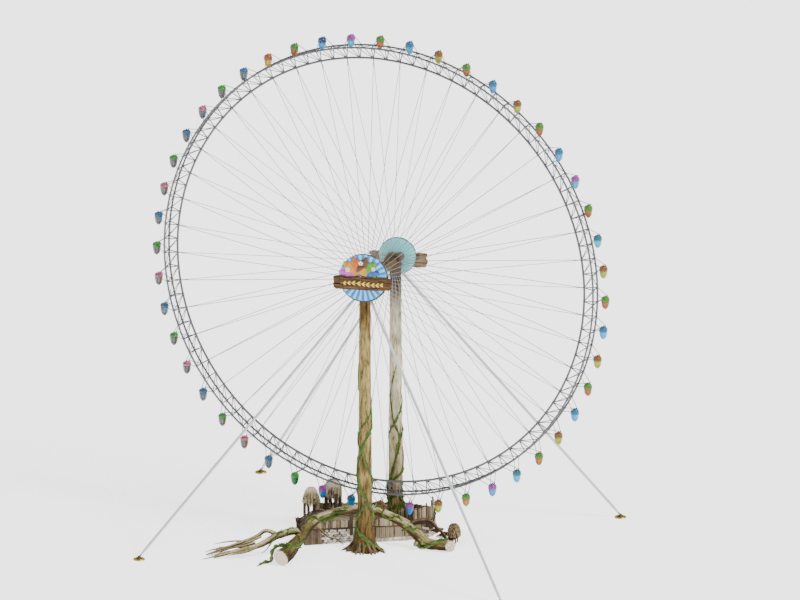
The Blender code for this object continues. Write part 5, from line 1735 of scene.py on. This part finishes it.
def buildLogs():
    # Rails along the boards, posts with knobs in the palisade, the log steps and the post under the bent log
    s = stationSizes
    bm = newShape()
    outline = [(x, y, 0.368) for x, y in s["outline"]]
    rows = [outline + outline[:1], [(x, y, 0.40) for x, y, _ in palisade]]
    for row in rows:
        for (x0, y0, z0), (x1, y1, z1) in zip(row, row[1:]):
            length = math.hypot(x1 - x0, y1 - y0)
            out = Vector((y1 - y0, x0 - x1, 0)) / length * 0.016
            first, last = Vector((x0, y0, z0)) + out, Vector((x1, y1, z1)) + out
            addRoute(bm, [Vector((*first.lerp(last, k / 8), s["rail"])) for k in range(9)], 8, knotty)
    for place, yaw, out, pitch, _, top in alongEdges(palisade, 0.24):
        post = [Vector((place.x, place.y, z, r)) for z, r in (
            (s["deck"], 0.022), (0.60, 0.021), (top, 0.020), (top + 0.02, 0.014), (top + 0.045, 0.023),
            (s["knobTop"] - 0.01, 0.018), (s["knobTop"], 0.008))]
        addRoute(bm, post, 10, knotty)
    x, y, top, radius = s["post"]
    addRoute(bm, [Vector((x, y, z, radius * 1.1)) for z in (0.2, 0.35, 0.5, 0.62, top)], 14, knotty)
    start, end = Vector((*s["stepStart"], 0)), Vector((*s["stepEnd"], 0))
    run = (end - start) / s["steps"]
    across = Vector((-run.y, run.x, 0)).normalized()
    for step in range(s["steps"]):
        height = s["deck"] * (s["steps"] - step) / (s["steps"] + 1)
        nose = start + run * (step + 1) + Vector((0, 0, height - 0.012))
        for back in (0.0, 0.06, 0.12):
            middle = nose - run.normalized() * back + Vector((0, 0, 0.004))
            reach = s["stepWidth"] + 0.05
            route = [Vector((*(middle + across * share * reach), 0.030))
                     for share in (-0.5, -0.25, 0, 0.25, 0.5)]
            addRoute(bm, route, 10, knotty, 0, 1)
    for hut in huts:
        reach = hut["thatch"][0][1] + 0.08 - hut["floor"]
        for dx, dy in ((-1, -1), (1, -1), (1, 1), (-1, 1)):
            foot = Vector((hut["x"] + dx * hut["leg"], hut["y"] + dy * hut["leg"], hut["floor"]))
            points = [foot + Vector((0, 0, share * reach)) for share in (0, 0.25, 0.5, 0.75, 1)]
            addRoute(bm, [Vector((*point, hut["thick"])) for point in points], 9, knotty)
    logs = meshFrom(bm, "stationLogs", [darkPole, creamWood])
    placePiece("station_logs", logs, "root", sharp=50)


def buildThatch():
    # A rough body under hundreds of straws that follow its slope, and a ragged fringe that hangs below
    randomStraw = random.Random(17)
    thatches = []
    # The huts take the sunlit, half shaded and shaded copies of the straw in turn: painted light and shade
    for hut, finish in zip(huts, (sunlitThatch, halfShadedThatch, shadedThatch)):
        bm = newShape()
        spots = []
        thatch = hut["thatch"]
        eavesR, eavesZ = thatch[0]
        under = [(0, eavesZ + 0.03), (eavesR * 0.88, eavesZ + 0.004)]
        addTurned(bm, under + thatch, 28, moved((hut["x"], hut["y"], 0)))
        lengths = [math.dist(a, b) for a, b in zip(thatch, thatch[1:])]

        def onRoof(travelled):
            # The point this far down the roof line from its top; past the eaves it drops straight
            for (lowR, lowZ), (highR, highZ), piece in reversed(list(zip(thatch, thatch[1:], lengths))):
                if travelled <= piece:
                    share = travelled / piece
                    return Vector((highR + (lowR - highR) * share, highZ + (lowZ - highZ) * share))
                travelled -= piece
            return Vector((eavesR + travelled * 0.1, eavesZ - travelled))

        def around(radius, azimuth, z):
            return Vector((hut["x"] + radius * math.cos(azimuth), hut["y"] + radius * math.sin(azimuth), z))

        for _ in range(round(strawsPerMetre * eavesR)):
            azimuth = randomStraw.uniform(0, math.tau)
            start = sum(lengths) * randomStraw.random() ** 0.8 * 0.94
            length = (0.045 + hut["straw"] * min(1, start / 0.22)) * randomStraw.uniform(0.7, 1.1)
            top = onRoof(start)
            bottom = onRoof(min(start + length, sum(lengths) + 0.035))
            slope = math.atan2(bottom.x - top.x + 0.008, top.y - bottom.y)
            spot = around(top.x, azimuth, top.y + 0.002)
            width = 0.012 * randomStraw.uniform(0.7, 1.4)
            spots.append((spot, (0, -slope, azimuth), (width * 0.6, width, (bottom - top).length)))
        for _ in range(round(900 * eavesR)):
            azimuth = randomStraw.uniform(0, math.tau)
            radius = eavesR * randomStraw.uniform(0.72, 0.88)
            spot = around(radius, azimuth, eavesZ + 0.02)
            length = (eavesZ + 0.02 - hut["fringe"]) * randomStraw.uniform(0.45, 1.0)
            spots.append((spot, (0, 0.22, azimuth), (0.008, 0.012, length)))
        thatches.append(meshFrom(bm, "thatchBase", [finish]))
        thatches.append(copyToSpots("thatchStraws", spots, strawItem(), finish, 0.10, 0.04, 9))
    placePiece("station_thatch", joinMeshes("stationThatch", thatches), "root", sharp=30)


def buildStation():
    placePiece("station_core", coreMesh(), "root", ["boarding_station"], sharp=30)
    buildWalls()
    buildLogs()
    buildThatch()


coreBoards = weatheredBoard("weatheredCoreBoards", "3f352c", "6a5b4e", "8f8071")
limeWash = fieldStone("paleLimeMortar", "c2b9a6", "f1ead9")
wallBoards = weatheredBoard("weatheredWallBoards", "32261a", "625140", "9a8a6e", toneShare=1.1)
endBoards = weatheredBoard("darkEndBoards", "33291f", "5a4a3a", "7c6a56")
fenceBoards = weatheredBoard("greyFenceBoards", "3e3124", "76644f", "b4a688", toneShare=1.1)
deckBoards = weatheredBoard("weatheredDeckPlanks", "473b2e", "79694f", "a8987c", (160, 14, 14))
darkPole = weatheredBoard("weatheredPoles", "3a2f26", "604f3c", "8c7b64", (20, 20, 120))
stationStone = fieldStone("creamFieldStone", "94887a", "efe8dc")
# One straw in three copies, sunlit, half shaded and shaded: painted light and shade, one copy for each hut
sunlitThatch = strawThatch("sunlitStrawThatch", "80704f", "d2c49c", "f8f0d6")
halfShadedThatch = strawThatch("halfShadedStrawThatch", "5c4e3a", "a8987a", "e6dabc")
shadedThatch = strawThatch("shadedStrawThatch", "463825", "8a7858", "c8b890")
buildStation()
print("station built")


# Floor, light and camera

def buildStage():
    bm = bmesh.new()
    bmesh.ops.create_grid(bm, x_segments=1, y_segments=1, size=300)
    floor = bpy.data.objects.new("floor", meshFrom(bm, "floor", [floorPaint]))
    floor.location.z = -0.002
    bpy.context.scene.collection.objects.link(floor)


def aimCamera():
    v = viewSizes
    azimuth, elevation = math.radians(v["azimuth"]), math.radians(v["elevation"])
    back = Vector((math.sin(azimuth) * math.cos(elevation), -math.cos(azimuth) * math.cos(elevation),
                   math.sin(elevation)))
    right = Vector((math.cos(azimuth), math.sin(azimuth), 0))
    up = back.cross(right)
    target = hub + right * v["shiftRight"] - up * v["shiftDown"]
    camera = bpy.data.cameras.new("camera")
    camera.lens = camera.sensor_width * v["distance"] / v["width"]
    camera.clip_start, camera.clip_end = 1, 2000
    holder = bpy.data.objects.new("camera", camera)
    turned = Matrix((right, up, back)).transposed().to_4x4()
    holder.matrix_world = moved(target + back * v["distance"]) @ turned
    bpy.context.scene.collection.objects.link(holder)
    bpy.context.scene.camera = holder
    return right, back


def addLights(right, back):
    world = bpy.data.worlds.new("studio")
    world.use_nodes = True
    world.node_tree.nodes["Background"].inputs["Color"].default_value = hexColour("ffffff")
    world.node_tree.nodes["Background"].inputs["Strength"].default_value = lightSizes["world"]
    bpy.context.scene.world = world
    sun = bpy.data.lights.new("key", "SUN")
    sun.energy, sun.angle = lightSizes["key"], math.radians(lightSizes["softness"])
    holder = bpy.data.objects.new("key", sun)
    side, toward, upward = lightSizes["keyTurn"]
    toLight = right * side + back * toward + Vector((0, 0, upward))
    holder.rotation_euler = toLight.to_track_quat("Z", "Y").to_euler()
    bpy.context.scene.collection.objects.link(holder)


viewSizes = {
    "azimuth": 22.54, "elevation": 17.1, "distance": 600, "width": 18.10,
    "shiftRight": 0.446, "shiftDown": 0.679}
lightSizes = {"world": 0.66, "key": 3.1, "keyTurn": (0.85, 0.60, 0.95), "softness": 16, "floorGlow": 1.8}
floorPaint = paintedTube("whiteStudioFloor", "ffffff", "fdfdfd", 0.8, 0.0)
floorShader = floorPaint.node_tree.nodes["Principled BSDF"]
floorShader.inputs["Emission Color"].default_value = hexColour("ffffff")
floorShader.inputs["Emission Strength"].default_value = lightSizes["floorGlow"]
buildStage()
addLights(*aimCamera())

print("stage, light and camera set")
